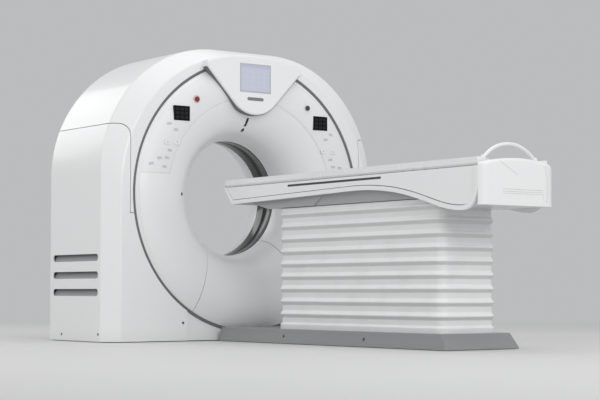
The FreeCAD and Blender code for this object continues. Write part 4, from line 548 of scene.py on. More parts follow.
@dataclass(frozen=True)
class SeamedCover(MouldedCover):
    """A moulded cover with fine moulded lines across the end face of the couch."""

    seams: tuple[tuple[float, float, float, float], ...] = ()
    line_half: float = 0.0011
    line_colour: Colour = (0.42, 0.425, 0.43)
    face_y: float = -2.50

    def dress(self, skin: Surface) -> None:
        """Adds the moulded lines to the cover's colour.

        Args:
            skin: The surface to dress.
        """
        super().dress(skin)
        clean = skin.shader.inputs["Base Color"].links[0].from_socket
        behind = skin.remap(skin.height(1), self.face_y - 0.004, self.face_y, 1.0, 0.0)
        lines: Socket | float = 0.0
        for x0, z0, x1, z1 in self.seams:
            length = math.hypot(x1 - x0, z1 - z0)
            along = ((x1 - x0) / length, 0.0, (z1 - z0) / length)
            across = (-along[2], 0.0, along[0])
            start = skin.vector_math("SUBTRACT", skin.place, (x0, 0.0, z0))
            run = skin.vector_math("DOT_PRODUCT", start, along, "Value")
            side = skin.vector_math("DOT_PRODUCT", start, across, "Value")
            line = skin.product(skin.within(side, 0.0, self.line_half, 0.0005),
                                skin.within(run, length / 2, length / 2, 0.004))
            lines = skin.math("MAXIMUM", lines, line)
        skin.paint(skin.mixed(skin.product(lines, behind), clean, self.line_colour))


@dataclass(frozen=True)
class GrainedPlastic(Finish):
    """Moulded plastic, rubber or textured paint with a fine grain."""

    grain: float = 900.0
    fleck: float = 0.12

    def dress(self, skin: Surface) -> None:
        """Adds the grain's height and flecks of shade and sheen.

        Args:
            skin: The surface to dress.
        """
        grain = GRAIN.use(skin, {"Vector": skin.place, "Scale": self.grain})
        dark = tuple(c * (1.0 - self.fleck) for c in self.colour)
        light = tuple(min(1.0, c * (1.0 + self.fleck)) for c in self.colour)
        skin.paint(skin.mixed(grain["Fleck"], dark, light))
        skin.sheen(skin.remap(grain["Fleck"], 0.0, 1.0, self.roughness - 0.06, self.roughness + 0.06))
        self.emboss(skin, grain["Height"])


@dataclass(frozen=True)
class MachinedMetal(Finish):
    """Bare metal with the lines of its last cut and a little tarnish."""

    stretch: tuple[float, float, float] = (40.0, 900.0, 40.0)
    tarnish: Colour = (0.35, 0.34, 0.32)

    def dress(self, skin: Surface) -> None:
        """Adds tool lines to the roughness and height, and tarnish in clouds.

        Args:
            skin: The surface to dress.
        """
        line = BRUSHING.use(skin, {"Vector": skin.place, "Stretch": self.stretch})["Line"]
        skin.sheen(skin.remap(line, 0.3, 0.7, self.roughness - 0.08, self.roughness + 0.1))
        share = skin.remap(skin.noise(skin.place, 14.0, 4.0), 0.45, 0.75, 0.0, 0.35)
        skin.paint(skin.mixed(share, self.colour, self.tarnish))
        self.emboss(skin, line)


@dataclass(frozen=True)
class CoatedFabric(Finish):
    """Coated woven cloth with painted shade on the downward-facing sides of its folds."""

    threads: float = 2600.0
    fold_shade: Colour = (0.62, 0.62, 0.62)
    # Painted shade: the grey that the downward-facing sides of the folds are mixed towards.
    painted_underside_shade: Colour = (0.40, 0.402, 0.405)

    def dress(self, skin: Surface) -> None:
        """Adds the weave through the coating, a slow shade and painted shade below each ridge, where
        the faces turn downwards.

        Args:
            skin: The surface to dress.
        """
        weave = WEAVE.use(skin, {"Vector": skin.place, "Threads": self.threads})
        cloud = skin.noise(skin.place, 6.0, 3.0)
        share = skin.math("MULTIPLY_ADD", weave["Thread"], 0.06,
                          skin.remap(cloud, 0.4, 0.75, 0.0, 0.18))
        clean = skin.mixed(share, self.colour, self.fold_shade)
        # Painted shade: faces that turn downwards under each fold ridge are mixed towards a darker
        # grey.
        rise = skin.part(skin.out("ShaderNodeNewGeometry", output="Normal"), 2)
        skin.paint(skin.mixed(skin.remap(rise, -0.34, 0.26, 0.56, 0.0), clean, self.painted_underside_shade))
        self.emboss(skin, weave["Height"])


@dataclass(frozen=True)
class CircuitBoard(Finish):
    """A lacquered board with rows of parts and tracks."""

    track: Colour = (0.30, 0.34, 0.12)
    part: Colour = (0.03, 0.03, 0.035)

    def dress(self, skin: Surface) -> None:
        """Adds tracks as thin bricks and parts as larger cells.

        Args:
            skin: The surface to dress.
        """
        turned = skin.upright()
        tracks = skin.out("ShaderNodeTexBrick", {"Vector": turned, "Scale": 60.0, "Mortar Size": 0.03},
                          "Fac")
        cells = skin.out("ShaderNodeTexVoronoi", {"Vector": turned, "Scale": 90.0},
                         distance="CHEBYCHEV")
        lined = skin.mixed(tracks, self.colour, self.track)
        is_part = skin.remap(cells, 0.22, 0.25, 1.0, 0.0)
        skin.paint(skin.mixed(is_part, lined, self.part))
        self.emboss(skin, is_part)


@dataclass(frozen=True)
class TrackedInsulator(Finish):
    """The slip ring's insulating disc with polished conductor tracks round the bore."""

    axis_height: float = 0.954
    copper: Colour = (0.80, 0.50, 0.33)
    track_pitch: float = 0.050

    def dress(self, skin: Surface) -> None:
        """Lays metal rings by the distance from the bore's axis.

        Args:
            skin: The surface to dress.
        """
        radius = skin.from_axis(skin.place, self.axis_height)
        step = skin.math("FRACT", skin.math("DIVIDE", radius, self.track_pitch))
        on_track = skin.within(step, 0.5, 0.36, 0.02)
        skin.paint(skin.mixed(on_track, self.colour, self.copper))
        skin.fill(skin.shader, {"Metallic": on_track})
        wear = skin.math("FRACT", skin.product(radius, 900.0))
        skin.sheen(skin.math("MULTIPLY_ADD", wear, 0.12, self.roughness))
        self.emboss(skin, wear)


@dataclass(frozen=True)
class ScanWindow(Finish):
    """The dark beam window round the bore, with a lighter beam line along its middle."""

    middle_y: float = 0.345
    line: Colour = (0.09, 0.095, 0.10)

    def dress(self, skin: Surface) -> None:
        """Adds the beam line and a faint smear on the film.

        Args:
            skin: The surface to dress.
        """
        on_line = skin.within(skin.height(1), self.middle_y, 0.012, 0.002)
        skin.paint(skin.mixed(on_line, self.colour, self.line))
        self.worn_gloss(skin, HANDLING.use(skin, {"Vector": skin.place}), 0.2)


@dataclass(frozen=True)
class PrintedFilm(Finish):
    """The matt front film of a control panel, with a fine rule round its printed zone."""

    axis_height: float = 0.954
    rule: Colour = (0.55, 0.57, 0.60)
    rule_half: float = 0.0012
    inner_radius: float = 0.656
    foot: float = 1.081

    def dress(self, skin: Surface) -> None:
        """Prints a rule along the film's inner arc and its foot.

        Args:
            skin: The surface to dress.
        """
        radius = skin.from_axis(skin.place, self.axis_height)
        arc_rule, foot_rule = (skin.within(value, middle, self.rule_half, 0.0005) for value, middle in
                               ((radius, self.inner_radius), (skin.height(), self.foot)))
        printed = skin.math("MAXIMUM", arc_rule, foot_rule)
        grain = GRAIN.use(skin, {"Vector": skin.place, "Scale": 1400.0})
        shade = tuple(c * 0.97 for c in self.colour)
        film = skin.mixed(grain["Fleck"], self.colour, shade)
        skin.paint(skin.mixed(printed, film, self.rule))
        self.emboss(skin, grain["Height"])


@dataclass(frozen=True)
class TouchScreen(Finish):
    """The console's lit screen: a pale field with a header, tiles and a dark margin."""

    centre_z: float = 1.739
    half_width: float = 0.115
    half_height: float = 0.086
    header_half: float = 0.009
    tile: Colour = (0.43, 0.45, 0.57)
    margin: Colour = (0.40, 0.42, 0.48)
    glow: float = 0.04

    def dress(self, skin: Surface) -> None:
        """Draws the lit field on the screen's face.

        Args:
            skin: The surface to dress.
        """
        across, height, soft = skin.height(0), skin.height(), 0.0006
        lit_field = skin.product(skin.within(across, 0.0, self.half_width, soft),
                                 skin.within(height, self.centre_z, self.half_height, soft))
        header = skin.within(height, self.centre_z + self.half_height - self.header_half,
                             self.header_half, soft)
        above = skin.difference(height, self.centre_z - self.header_half)
        tiles = skin.product(skin.repeat(across, self.half_width / 2.5, 0.42, 0.02),
                             skin.repeat(above, self.half_height / 2.5, 0.40, 0.02))
        shade = skin.math("MAXIMUM", skin.product(header, 0.7), skin.product(tiles, 0.22))
        lit = skin.mixed(shade, self.colour, self.tile)
        colour = skin.mixed(lit_field, self.margin, lit)
        skin.fill(skin.shader, {"Base Color": colour, "Emission Color": colour,
                                "Emission Strength": self.glow})
        self.ripple(skin)


@dataclass(frozen=True)
class CompositeShell(Finish):
    """The cradle's white gel coat over a carbon cloth that shows faintly."""

    threads: float = 1600.0

    def dress(self, skin: Surface) -> None:
        """Adds the cloth's shade below the coat and the coat's ripple.

        Args:
            skin: The surface to dress.
        """
        weave = WEAVE.use(skin, {"Vector": skin.upright(), "Threads": self.threads})
        shade = tuple(c * 0.965 for c in self.colour)
        cloth = skin.mixed(weave["Thread"], self.colour, shade)
        used = HANDLING.use(skin, {"Vector": skin.place, "Clean": cloth, "Strength": 0.10})
        skin.paint(used["Colour"])
        self.worn_gloss(skin, used, 0.04)


@dataclass(frozen=True)
class DarkGlass(Finish):
    """A dark display window with unlit digit cells that only just show."""

    cell: Colour = (0.022, 0.023, 0.025)
    centre: tuple[float, float] = (0.5605, 1.4738)
    pitch: tuple[float, float] = (0.034, 0.027)

    def dress(self, skin: Surface) -> None:
        """Draws a faint grid of cells behind the glass.

        Args:
            skin: The surface to dress.
        """
        outwards = skin.difference(skin.math("ABSOLUTE", skin.height(0)), self.centre[0])
        upwards = skin.difference(skin.height(), self.centre[1])
        cells = skin.product(skin.repeat(outwards, self.pitch[0], 0.40, 0.03),
                             skin.repeat(upwards, self.pitch[1], 0.38, 0.03))
        skin.paint(skin.mixed(cells, self.colour, self.cell))
        self.worn_gloss(skin, HANDLING.use(skin, {"Vector": skin.place}), 0.15)


def finishes() -> dict[Slot, Finish]:
    """The finish of each of the record's material slots.

    Returns:
        Each slot's finish.
    """
    return {
        Slot.WHITE_COVER: MouldedCover(
            "white_gel_coat", (0.81, 0.815, 0.82), roughness=0.36, coat=0.22, coat_roughness=0.10,
            bump=0.06, relief=0.0015),
        Slot.OVERLAY: PrintedFilm("printed_film", (0.79, 0.80, 0.81), roughness=0.42, bump=0.04),
        Slot.GREY_COVER: MouldedCover(
            "grey_skirt_coat", (0.255, 0.26, 0.265), roughness=0.34, coat=0.2,
            dusty=(0.36, 0.355, 0.34), bump=0.06, relief=0.001),
        Slot.SEAL: GrainedPlastic("seal_rubber", (0.15, 0.155, 0.16), roughness=0.55),
        Slot.WINDOW: ScanWindow(
            "beam_window_film", (0.018, 0.019, 0.021), roughness=0.16, bump=0.03, relief=0.001),
        Slot.SCREEN: TouchScreen("touch_screen", (0.52, 0.545, 0.65), roughness=0.16, bump=0.01),
        Slot.LASER_WINDOW: DarkGlass("laser_glass", (0.05, 0.012, 0.012), roughness=0.08, bump=0.01),
        Slot.STOP_RED: GrainedPlastic(
            "stop_red_plastic", (0.20, 0.010, 0.014), roughness=0.35, grain=1500.0, fleck=0.06,
            bump=0.03),
        Slot.BUTTON_BLACK: GrainedPlastic(
            "button_plastic", (0.045, 0.046, 0.05), roughness=0.38, grain=1500.0, bump=0.05),
        Slot.FRAME_PAINT: GrainedPlastic(
            "frame_paint", (0.36, 0.39, 0.42), roughness=0.48, grain=260.0, fleck=0.05,
            relief=0.0006),
        Slot.BEARING_STEEL: MachinedMetal(
            "bearing_steel", (0.56, 0.56, 0.57), roughness=0.26, metallic=1.0, bump=0.04),
        Slot.UNIT_PAINT: GrainedPlastic(
            "unit_enamel", (0.66, 0.66, 0.63), roughness=0.36, grain=420.0, fleck=0.04, bump=0.08,
            relief=0.0004),
        Slot.DARK_UNIT: GrainedPlastic(
            "dark_casting", (0.055, 0.058, 0.062), grain=300.0, bump=0.2, relief=0.0006),
        Slot.LIGHT_ALLOY: MachinedMetal(
            "machined_alloy", (0.72, 0.73, 0.74), roughness=0.32, metallic=1.0, bump=0.04),
        Slot.BOARD: CircuitBoard(
            "circuit_board", (0.03, 0.14, 0.07), roughness=0.4, bump=0.4, relief=0.001),
        Slot.INSULATOR: TrackedInsulator(
            "slip_ring_disc", (0.35, 0.22, 0.10), roughness=0.34, bump=0.02),
        Slot.FAN_PLASTIC: GrainedPlastic("fan_plastic", (0.03, 0.031, 0.033), roughness=0.45),
        Slot.BELLOWS_SKIN: CoatedFabric("coated_fabric", (0.86, 0.865, 0.87), relief=0.0004),
        Slot.CRADLE_SHELL: CompositeShell(
            "composite_gel_coat", (0.80, 0.805, 0.81), roughness=0.26, coat=0.4, bump=0.05,
            relief=0.001),
        Slot.HANDLE: GrainedPlastic(
            "handle_coat", (0.80, 0.805, 0.81), roughness=0.3, grain=700.0, fleck=0.02, bump=0.03),
    }


DISPLAY_GLASS = DarkGlass(
    "display_glass", (0.004, 0.004, 0.005), roughness=0.35, specular=0.05, bump=0.01)
# Painted shade: this grey on the vanes behind the louvre slots stands for the shade inside the vents.
LOUVRE_PAINTED_SHADE = GrainedPlastic("louvre_painted_shade", (0.30, 0.305, 0.31), roughness=0.55, fleck=0.03)
STATUS_LENS = GrainedPlastic("status_lens", (0.19, 0.20, 0.185), roughness=0.35, fleck=0.03)
LENS_BEZEL = GrainedPlastic("lens_bezel", (0.035, 0.035, 0.037), fleck=0.03)
# Painted shade: the screw socket is a flat dark hexagon standing for the shade in its recess.
SOCKET_PAINTED_SHADE = GrainedPlastic("screw_socket_painted_shade", (0.02, 0.02, 0.022))
SCREW_CAP = GrainedPlastic("screw_cap", (0.09, 0.09, 0.095), roughness=0.4, fleck=0.05)
ARROW_INK = GrainedPlastic("arrow_ink", (0.30, 0.32, 0.36), roughness=0.45, fleck=0.04)
KEY_INK = GrainedPlastic("key_ink", (0.56, 0.58, 0.62), roughness=0.45, fleck=0.04)
STOP_RIM_INK = GrainedPlastic("stop_rim_ink", (0.74, 0.52, 0.52), roughness=0.45, fleck=0.04)
# Painted shade: this near-black stands for the shade inside the side panels' fine line and accessory
# groove.
GROOVE_PAINTED_SHADE = GrainedPlastic("groove_painted_shade", (0.09, 0.09, 0.095), roughness=0.6, bump=0.05)
# Painted shade: the under tray is white; this grey stands for the shade beneath the couch top, with the
# moulded finish's smears and foot dust on it.
UNDER_TRAY_PAINTED_SHADE = MouldedCover(
    "under_tray_painted_shade", (0.40, 0.405, 0.41), roughness=0.40, coat=0.1,
    dusty=(0.44, 0.43, 0.41), bump=0.06, relief=0.001)
END_CAP_COAT = SeamedCover("end_cap_gel_coat", (0.81, 0.815, 0.82), roughness=0.36, coat=0.22,
                           coat_roughness=0.10, bump=0.05, relief=0.0015, dust_height=0.01,
                           seams=((-0.150, 1.022, -0.020, 0.950), (0.185, 1.008, 0.205, 0.930),
                                  (0.205, 0.930, 0.196, 0.800), (-0.130, 0.872, 0.168, 0.872),
                                  (-0.130, 0.860, 0.168, 0.860)))


# ---------------------------------------------------------------- meshes


def arc(centre: tuple[float, float], radius: float, start: float, end: float, steps: int) -> Profile:
    """Points along an arc.

    Args:
        centre: The arc's centre.
        radius: Its radius.
        start: The first point's angle, in radians.
        end: The last point's angle.
        steps: The number of pieces it is divided into.

    Returns:
        The steps + 1 points, both ends included.
    """
    angles = (start + (end - start) * step / steps for step in range(steps + 1))
    return [(centre[0] + radius * math.cos(a), centre[1] + radius * math.sin(a)) for a in angles]


def circle(centre: tuple[float, float], radius: float, steps: int) -> Profile:
    """Points round a whole circle, each once."""
    return arc(centre, radius, 0.0, 2 * math.pi, steps)[:-1]


def linked(name: str, data: bpy.types.ID) -> bpy.types.Object:
    """Puts data into the scene as a new object.

    Args:
        name: The object's name.
        data: Its mesh, lamp or camera.

    Returns:
        The object.
    """
    item = bpy.data.objects.new(name, data)
    bpy.context.scene.collection.objects.link(item)
    return item


def face_towards(item: bpy.types.Object, place: Place, aim: Place) -> None:
    """Puts a lamp or camera at a place and turns it to a point."""
    item.location = place
    item.rotation_euler = (Vector(aim) - Vector(place)).to_track_quat("-Z", "Y").to_euler()


@contextmanager
def edited(mesh: bpy.types.Mesh) -> Iterator[bmesh.types.BMesh]:
    """Opens a mesh for editing, and writes it back at the end.

    Args:
        mesh: The mesh, changed in place.

    Yields:
        The mesh in its editable form.
    """
    work = bmesh.new()
    work.from_mesh(mesh)
    yield work
    work.to_mesh(mesh)
    work.free()


def new_mesh(name: str, points: Sequence[Sequence[float]], faces: Sequence[Sequence[int]],
             edges: Sequence[tuple[int, int]] = ()) -> bpy.types.Mesh:
    """A mesh from its points, faces and loose edges.

    Args:
        name: The mesh's name.
        points: Its points.
        faces: Its faces, as rows of point numbers.
        edges: Its loose edges.

    Returns:
        The new mesh.
    """
    mesh = bpy.data.meshes.new(name)
    mesh.from_pydata(points, edges, faces)
    mesh.validate()
    return mesh


def grid_mesh(name: str, rows: Sequence[Sequence[Vector]], closed: bool = False, turned: bool = False,
              ends_closed: bool = False) -> bpy.types.Mesh:
    """A mesh of quads through rows of points.

    Args:
        name: The mesh's name.
        rows: Rows of equally many points.
        closed: Whether each row closes on itself.
        turned: Whether the faces point the other way.
        ends_closed: Whether the last row joins the first.

    Returns:
        The new mesh.
    """
    width = len(rows[0])
    faces = []
    for i in range(len(rows) if ends_closed else len(rows) - 1):
        for j in range(width if closed else width - 1):
            k, low, high = (j + 1) % width, i * width, ((i + 1) % len(rows)) * width
            face = (low + j, low + k, high + k, high + j)
            faces.append(face[::-1] if turned else face)
    return new_mesh(name, [point for row in rows for point in row], faces)


def close_up(mesh: bpy.types.Mesh, fill: bool = False) -> None:
    """Turns a mesh's faces outwards.

    Args:
        mesh: The mesh, changed in place.
        fill: Whether its open ends are filled first.
    """
    with edited(mesh) as work:
        if fill:
            bmesh.ops.holes_fill(work, edges=[e for e in work.edges if e.is_boundary])
        bmesh.ops.recalc_face_normals(work, faces=work.faces)


def mark_creases(mesh: bpy.types.Mesh, degrees: float) -> None:
    """Shades a mesh smoothly, except over its sharper edges.

    Args:
        mesh: The mesh, changed in place.
        degrees: The angle from which an edge shades as sharp.
    """
    limit = math.radians(degrees)
    with edited(mesh) as work:
        for face in work.faces:
            face.smooth = True
        for edge in work.edges:
            if len(edge.link_faces) == 2:
                edge.smooth = edge.calc_face_angle(0.0) < limit


def merged_copy(source: bpy.types.Mesh, name: str) -> bpy.types.Mesh:
    """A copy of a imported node's loose triangles with its doubles merged and its flats dissolved.

    Args:
        source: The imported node's mesh.
        name: The copy's name.

    Returns:
        The new mesh.
    """
    work = bmesh.new()
    work.from_mesh(source)
    for layer in list(work.loops.layers.float_vector.values()):
        work.loops.layers.float_vector.remove(layer)
    bmesh.ops.remove_doubles(work, verts=work.verts, dist=WELD)
    bmesh.ops.dissolve_limit(work, angle_limit=FLAT, verts=work.verts, edges=work.edges)
    points = [vertex.co.copy() for vertex in work.verts]
    faces = [[vertex.index for vertex in face.verts] for face in work.faces]
    work.free()
    return new_mesh(name, points, faces)


def round_edges(piece: bpy.types.Object, width: float, degrees: float = 35.0) -> None:
    """Rounds a piece's sharp edges and evens its shading.

    Args:
        piece: The piece.
        width: The width of the rounding.
        degrees: The angle from which an edge is rounded.
    """
    bevel = piece.modifiers.new("round_edges", "BEVEL")
    bevel.width = width
    bevel.segments = 2
    bevel.limit_method = "ANGLE"
    bevel.angle_limit = math.radians(degrees)
    piece.modifiers.new("even_shading", "WEIGHTED_NORMAL").keep_sharp = True


def thicken(piece: bpy.types.Object, wall: float) -> None:
    """Gives an open skin its wall, behind its visible face.

    Args:
        piece: The piece.
        wall: The thickness of the wall.
    """
    shell = piece.modifiers.new("wall", "SOLIDIFY")
    shell.thickness = wall
    shell.offset = -1.0
    shell.use_even_offset = True


def tube_rows(path: Sequence[Vector], radius: float, sides: int) -> list[list[Vector]]:
    """Rings of points round a path that lies in a plane of constant Y.

    Args:
        path: The centreline's points.
        radius: The tube's radius.
        sides: The number of points in a ring.

    Returns:
        One ring for each point.
    """
    rows = []
    for index, point in enumerate(path):
        ahead = path[min(index + 1, len(path) - 1)] - path[max(index - 1, 0)]
        across = Vector((0.0, 1.0, 0.0))
        up = ahead.normalized().cross(across).normalized()
        turns = (2 * math.pi * side / sides for side in range(sides))
        rows.append([point + radius * (math.cos(a) * across + math.sin(a) * up) for a in turns])
    return rows


# ---------------------------------------------------------------- geometry node tools


class GeometryTool(NodeGroup):
    """A geometry node tree with named inputs, used as a modifier and then made plain."""

    tree_kind = "GeometryNodeTree"
    outputs = (("Geometry", "Geometry"),)

    def coated(self, plan: GroupSketch, shape: Socket, material: str = "Material") -> Socket:
        """Gives a shape the material of one of the tree's inputs."""
        return plan.out("GeometryNodeSetMaterial", {"Geometry": shape,
                                                    "Material": plan.given[material]})

    def real(self, plan: GroupSketch, shape: Socket) -> Socket:
        """Turns instances into geometry."""
        return plan.out("GeometryNodeRealizeInstances", {0: shape})

    def on_points(self, plan: GroupSketch, shape: Socket) -> Socket:
        """Sets a shape on every point of the guide, along the point's own direction.

        Args:
            plan: The tool's tree.
            shape: The shape, which stands along +Z.

        Returns:
            The instances.
        """
        heading = plan.out("GeometryNodeInputNamedAttribute", {"Name": "outward"},
                           data_type="FLOAT_VECTOR")
        turn = plan.out("FunctionNodeAlignRotationToVector", {"Vector": heading}, axis="Z")
        return plan.out("GeometryNodeInstanceOnPoints", {"Points": plan.given["Geometry"],
                                                         "Instance": shape, "Rotation": turn})

    def apply(self, name: str, guide: bpy.types.Mesh, values: Mapping[str, object]) -> bpy.types.Object:
        """Runs the tree on a guide and returns the result as a plain object.

        Args:
            name: The new object's name.
            guide: The mesh that the tree reads.
            values: Values of the tree's named inputs.

        Returns:
            The finished object, with no modifier.
        """
        tree = self.tree()
        carrier = linked(name + "_guide", guide)
        modifier = carrier.modifiers.new(self.name, "NODES")
        modifier.node_group = tree
        sockets = {item.name: item.identifier for item in tree.interface.items_tree
                   if item.item_type == "SOCKET" and item.in_out == "INPUT"}
        for label, value in values.items():
            modifier[sockets[label]] = value
        bpy.context.view_layer.update()
        graph = bpy.context.evaluated_depsgraph_get()
        mesh = bpy.data.meshes.new_from_object(carrier.evaluated_get(graph))
        bpy.data.objects.remove(carrier)
        mesh.name = name
        return linked(name, mesh)


class FoldedSleeve(GeometryTool):
    """Sweeps a folded wall up from a closed loop, as on a lift's cover."""

    name = "folded_sleeve"
    inputs = (("Geometry", "Geometry", None), ("Height", "Float", 0.75), ("Collar", "Float", 0.036),
              ("Folds", "Int", 9), ("Fold Depth", "Float", 0.016), ("Steps per Fold", "Int", 14),
              ("Sag", "Float", 0.0016), ("Seed", "Float", 3.7), ("Material", "Material", None))

    def draw(self, plan: GroupSketch) -> None:
        """Shapes the wall's line into folds, sweeps it and lets the cloth sag a little.

        Args:
            plan: The tool's tree.
        """
        given = plan.given
        loop = plan.out("GeometryNodeMeshToCurve", {0: given["Geometry"]})
        level = plan.out("GeometryNodeSetCurveNormal", {"Curve": loop}, mode="Z_UP")
        end = plan.vector(y=plan.product(given["Height"], -1.0))
        line = plan.out("GeometryNodeCurvePrimitiveLine", {"End": end})
        count = plan.product(given["Folds"], given["Steps per Fold"])
        fine = plan.out("GeometryNodeResampleCurve", {"Curve": line, "Count": count})
        factor = plan.out("GeometryNodeSplineParameter", output="Factor")
        above = plan.difference(plan.product(factor, given["Height"]), given["Collar"])
        room = plan.difference(given["Height"], given["Collar"])
        pitch = plan.math("DIVIDE", room, plan.math("ADD", given["Folds"], 0.25))
        across = plan.math("WRAP", plan.math("DIVIDE", above, pitch), 0.75, -0.25)
        away = plan.math("ABSOLUTE", plan.difference(across, 0.25))
        valley = plan.product(plan.remap(away, 0.20, 0.475, 1.0, 0.0),
                              plan.remap(above, -0.006, 0.004, 0.0, 1.0))
        inward = plan.product(valley, given["Fold Depth"])
        folded = plan.out("GeometryNodeSetPosition", {
            "Geometry": fine, "Offset": plan.vector(plan.product(inward, -1.0))})
        swept = plan.out("GeometryNodeCurveToMesh", {"Curve": level, "Profile Curve": folded})
        where = plan.out("GeometryNodeInputPosition")
        noise = plan.out("ShaderNodeTexNoise", {"Vector": where, "W": given["Seed"], "Scale": 3.4,
                                                "Detail": 1.0}, noise_dimensions="4D")
        lift = plan.product(plan.difference(noise, 0.5), given["Sag"])
        free = plan.within(plan.part(where, 2), 0.465, 0.33, 0.03)
        hung = plan.out("GeometryNodeSetPosition", {
            "Geometry": swept, "Offset": plan.vector(z=plan.product(lift, free))})
        smooth = plan.out("GeometryNodeSetShadeSmooth", {"Geometry": hung})
        plan.give(Geometry=self.coated(plan, self.real(plan, smooth)))


class ScrewSet(GeometryTool):
    """Sets a button-head screw on every point of a guide, along the point's own direction."""

    name = "screw_set"
    inputs = (("Geometry", "Geometry", None), ("Head Radius", "Float", 0.009),
              ("Head Height", "Float", 0.003), ("Material", "Material", None),
              ("Socket Material", "Material", None))

    def draw(self, plan: GroupSketch) -> None:
        """Builds a domed head with a dark hexagon, painted shade standing for the socket's recess, and
        sets it on the points.

        Args:
            plan: The tool's tree.
        """
        radius, rise = plan.given["Head Radius"], plan.given["Head Height"]
        ball = plan.out("GeometryNodeMeshUVSphere", {"Segments": 28, "Rings": 14, "Radius": radius})
        flat = plan.vector(1.0, 1.0, plan.math("DIVIDE", rise, radius))
        dome = plan.out("GeometryNodeTransform", {"Geometry": ball, "Scale": flat})
        smooth = plan.out("GeometryNodeSetShadeSmooth", {"Geometry": dome})
        # Painted shade: a thin dark hexagon on the dome stands for the socket recess.
        key = plan.out("GeometryNodeMeshCylinder", {
            "Vertices": 6, "Radius": plan.product(radius, 0.42), "Depth": 0.0004})
        seated = plan.out("GeometryNodeTransform", {
            "Geometry": key, "Translation": plan.vector(z=plan.product(rise, 0.93))})
        screw = plan.node("GeometryNodeJoinGeometry")
        for part in (self.coated(plan, smooth), self.coated(plan, seated, "Socket Material")):
            plan.fill(screw, {0: part})
        plan.give(Geometry=self.real(plan, self.on_points(plan, screw.outputs[0])))


class PrintedKeys(GeometryTool):
    """Sets a thin rounded membrane key on every point, square to the point's direction."""

    name = "printed_keys"
    inputs = (("Geometry", "Geometry", None), ("Width", "Float", 0.036), ("Depth", "Float", 0.022),
              ("Corner", "Float", 0.006), ("Rise", "Float", 0.0006), ("Material", "Material", None))

    def draw(self, plan: GroupSketch) -> None:
        """Builds a rounded plate and sets it on the points.

        Args:
            plan: The tool's tree.
        """
        given = plan.given
        outline = plan.out("GeometryNodeCurvePrimitiveQuadrilateral", {
            "Width": given["Width"], "Height": given["Depth"]})
        soft = plan.out("GeometryNodeFilletCurve", {"Curve": outline, "Radius": given["Corner"],
                                                    "Count": 6}, mode="POLY")
        plate = plan.out("GeometryNodeFillCurve", {0: soft}, mode="NGONS")
        raised = plan.out("GeometryNodeExtrudeMesh", {"Mesh": plate, "Offset Scale": given["Rise"]})
        placed = self.real(plan, self.on_points(plan, raised))
        plan.give(Geometry=self.coated(plan, placed))


def guide_points(name: str, places: Sequence[tuple[Vector, Vector]]) -> bpy.types.Mesh:
    """A mesh of loose points that carry a direction each, for a geometry tool.

    Args:
        name: The mesh's name.
        places: Each point with its outward direction.

    Returns:
        The new mesh, with the directions in the attribute outward.
    """
    mesh = new_mesh(name, [place for place, _ in places], [])
    heading = mesh.attributes.new("outward", "FLOAT_VECTOR", "POINT")
    heading.data.foreach_set("vector", [c for _, outward in places for c in outward])
    return mesh


# ---------------------------------------------------------------- the workshop


@dataclass
class Workshop:
    """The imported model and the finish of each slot, as every sub-assembly needs them."""

    frame: dict[str, Any]
    finish_of: dict[Slot, Finish] = field(default_factory=finishes)

    def slot_of(self, node: str) -> Slot:
        """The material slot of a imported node."""
        rows = self.frame["record"]["subparts"]
        return Slot(next(row["material_slot"] for row in rows if row["node"] == node))

    def body_of(self, node: str) -> str:
        """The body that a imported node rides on."""
        return self.frame["nodes"][node]["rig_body"]

    def material(self, slot: Slot) -> bpy.types.Material:
        """The material of a slot."""
        return self.finish_of[slot].material()

    def fit(self, piece: bpy.types.Object, body: str, slot: Slot, replaced: Iterable[str] = (),
            material: bpy.types.Material | None = None) -> bpy.types.Object:
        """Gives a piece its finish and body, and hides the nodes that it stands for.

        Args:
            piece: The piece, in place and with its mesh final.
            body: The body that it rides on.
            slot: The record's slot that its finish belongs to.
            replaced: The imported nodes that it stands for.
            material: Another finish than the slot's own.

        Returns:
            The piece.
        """
        if not piece.data.materials:
            piece.data.materials.append(material or self.material(slot))
        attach(piece, body)
        nodes = list(replaced)
        if nodes:
            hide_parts(*nodes)
        log.info("%s rides on %s in %s, for %s", piece.name, body, slot.value, nodes or "no node")
        return piece

    def paint(self, piece: bpy.types.Object, material: bpy.types.Material,
              chosen: Callable[[Vector, Vector], bool]) -> None:
        """Gives some of a piece's faces a second material.

        Args:
            piece: The piece, whose own material comes first.
            material: The material of the chosen faces.
            chosen: Tells from a face's centre and normal whether it is one of them.
        """
        piece.data.materials.append(material)
        for face in piece.data.polygons:
            if chosen(face.center, face.normal):
                face.material_index = len(piece.data.materials) - 1

    def recast(self, node: str, edge: float, crease: float = 28.0,
               material: bpy.types.Material | None = None,
               soften: Callable[[bpy.types.Mesh], None] | None = None) -> bpy.types.Object:
        """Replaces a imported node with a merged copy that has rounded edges.

        Args:
            node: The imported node.
            edge: The radius of its rounded edges.
            crease: The angle in degrees from which an edge shades as sharp.
            material: Another finish than the slot's own.
            soften: What is done to the merged mesh before its edges are rounded.

        Returns:
            The new piece.
        """
        name = node + "_finished"
        mesh = merged_copy(self.frame["nodes"][node].data, name)
        if soften is not None:
            soften(mesh)
        mark_creases(mesh, crease)
        piece = linked(name, mesh)
        round_edges(piece, edge)
        return self.fit(piece, self.body_of(node), self.slot_of(node), [node], material)

    def set_screws(self, name: str, places: Sequence[tuple[Vector, Vector]], radius: float,
                   height: float, replaced: Iterable[str] = ()) -> None:
        """Sets dark button-head screws on the frame.

        Args:
            name: The piece's name.
            places: Each screw's seat with the direction out of it.
            radius: The radius of a head.
            height: Its height.
            replaced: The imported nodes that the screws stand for.
        """
        piece = ScrewSet().apply(name, guide_points(name + "_places", places), {
            "Head Radius": radius, "Head Height": height,
            "Material": SCREW_CAP.material(), "Socket Material": SOCKET_PAINTED_SHADE.material()})
        self.fit(piece, FIXED_BODY, self.slot_of("cover_screws"), replaced)


# ---------------------------------------------------------------- gantry covers


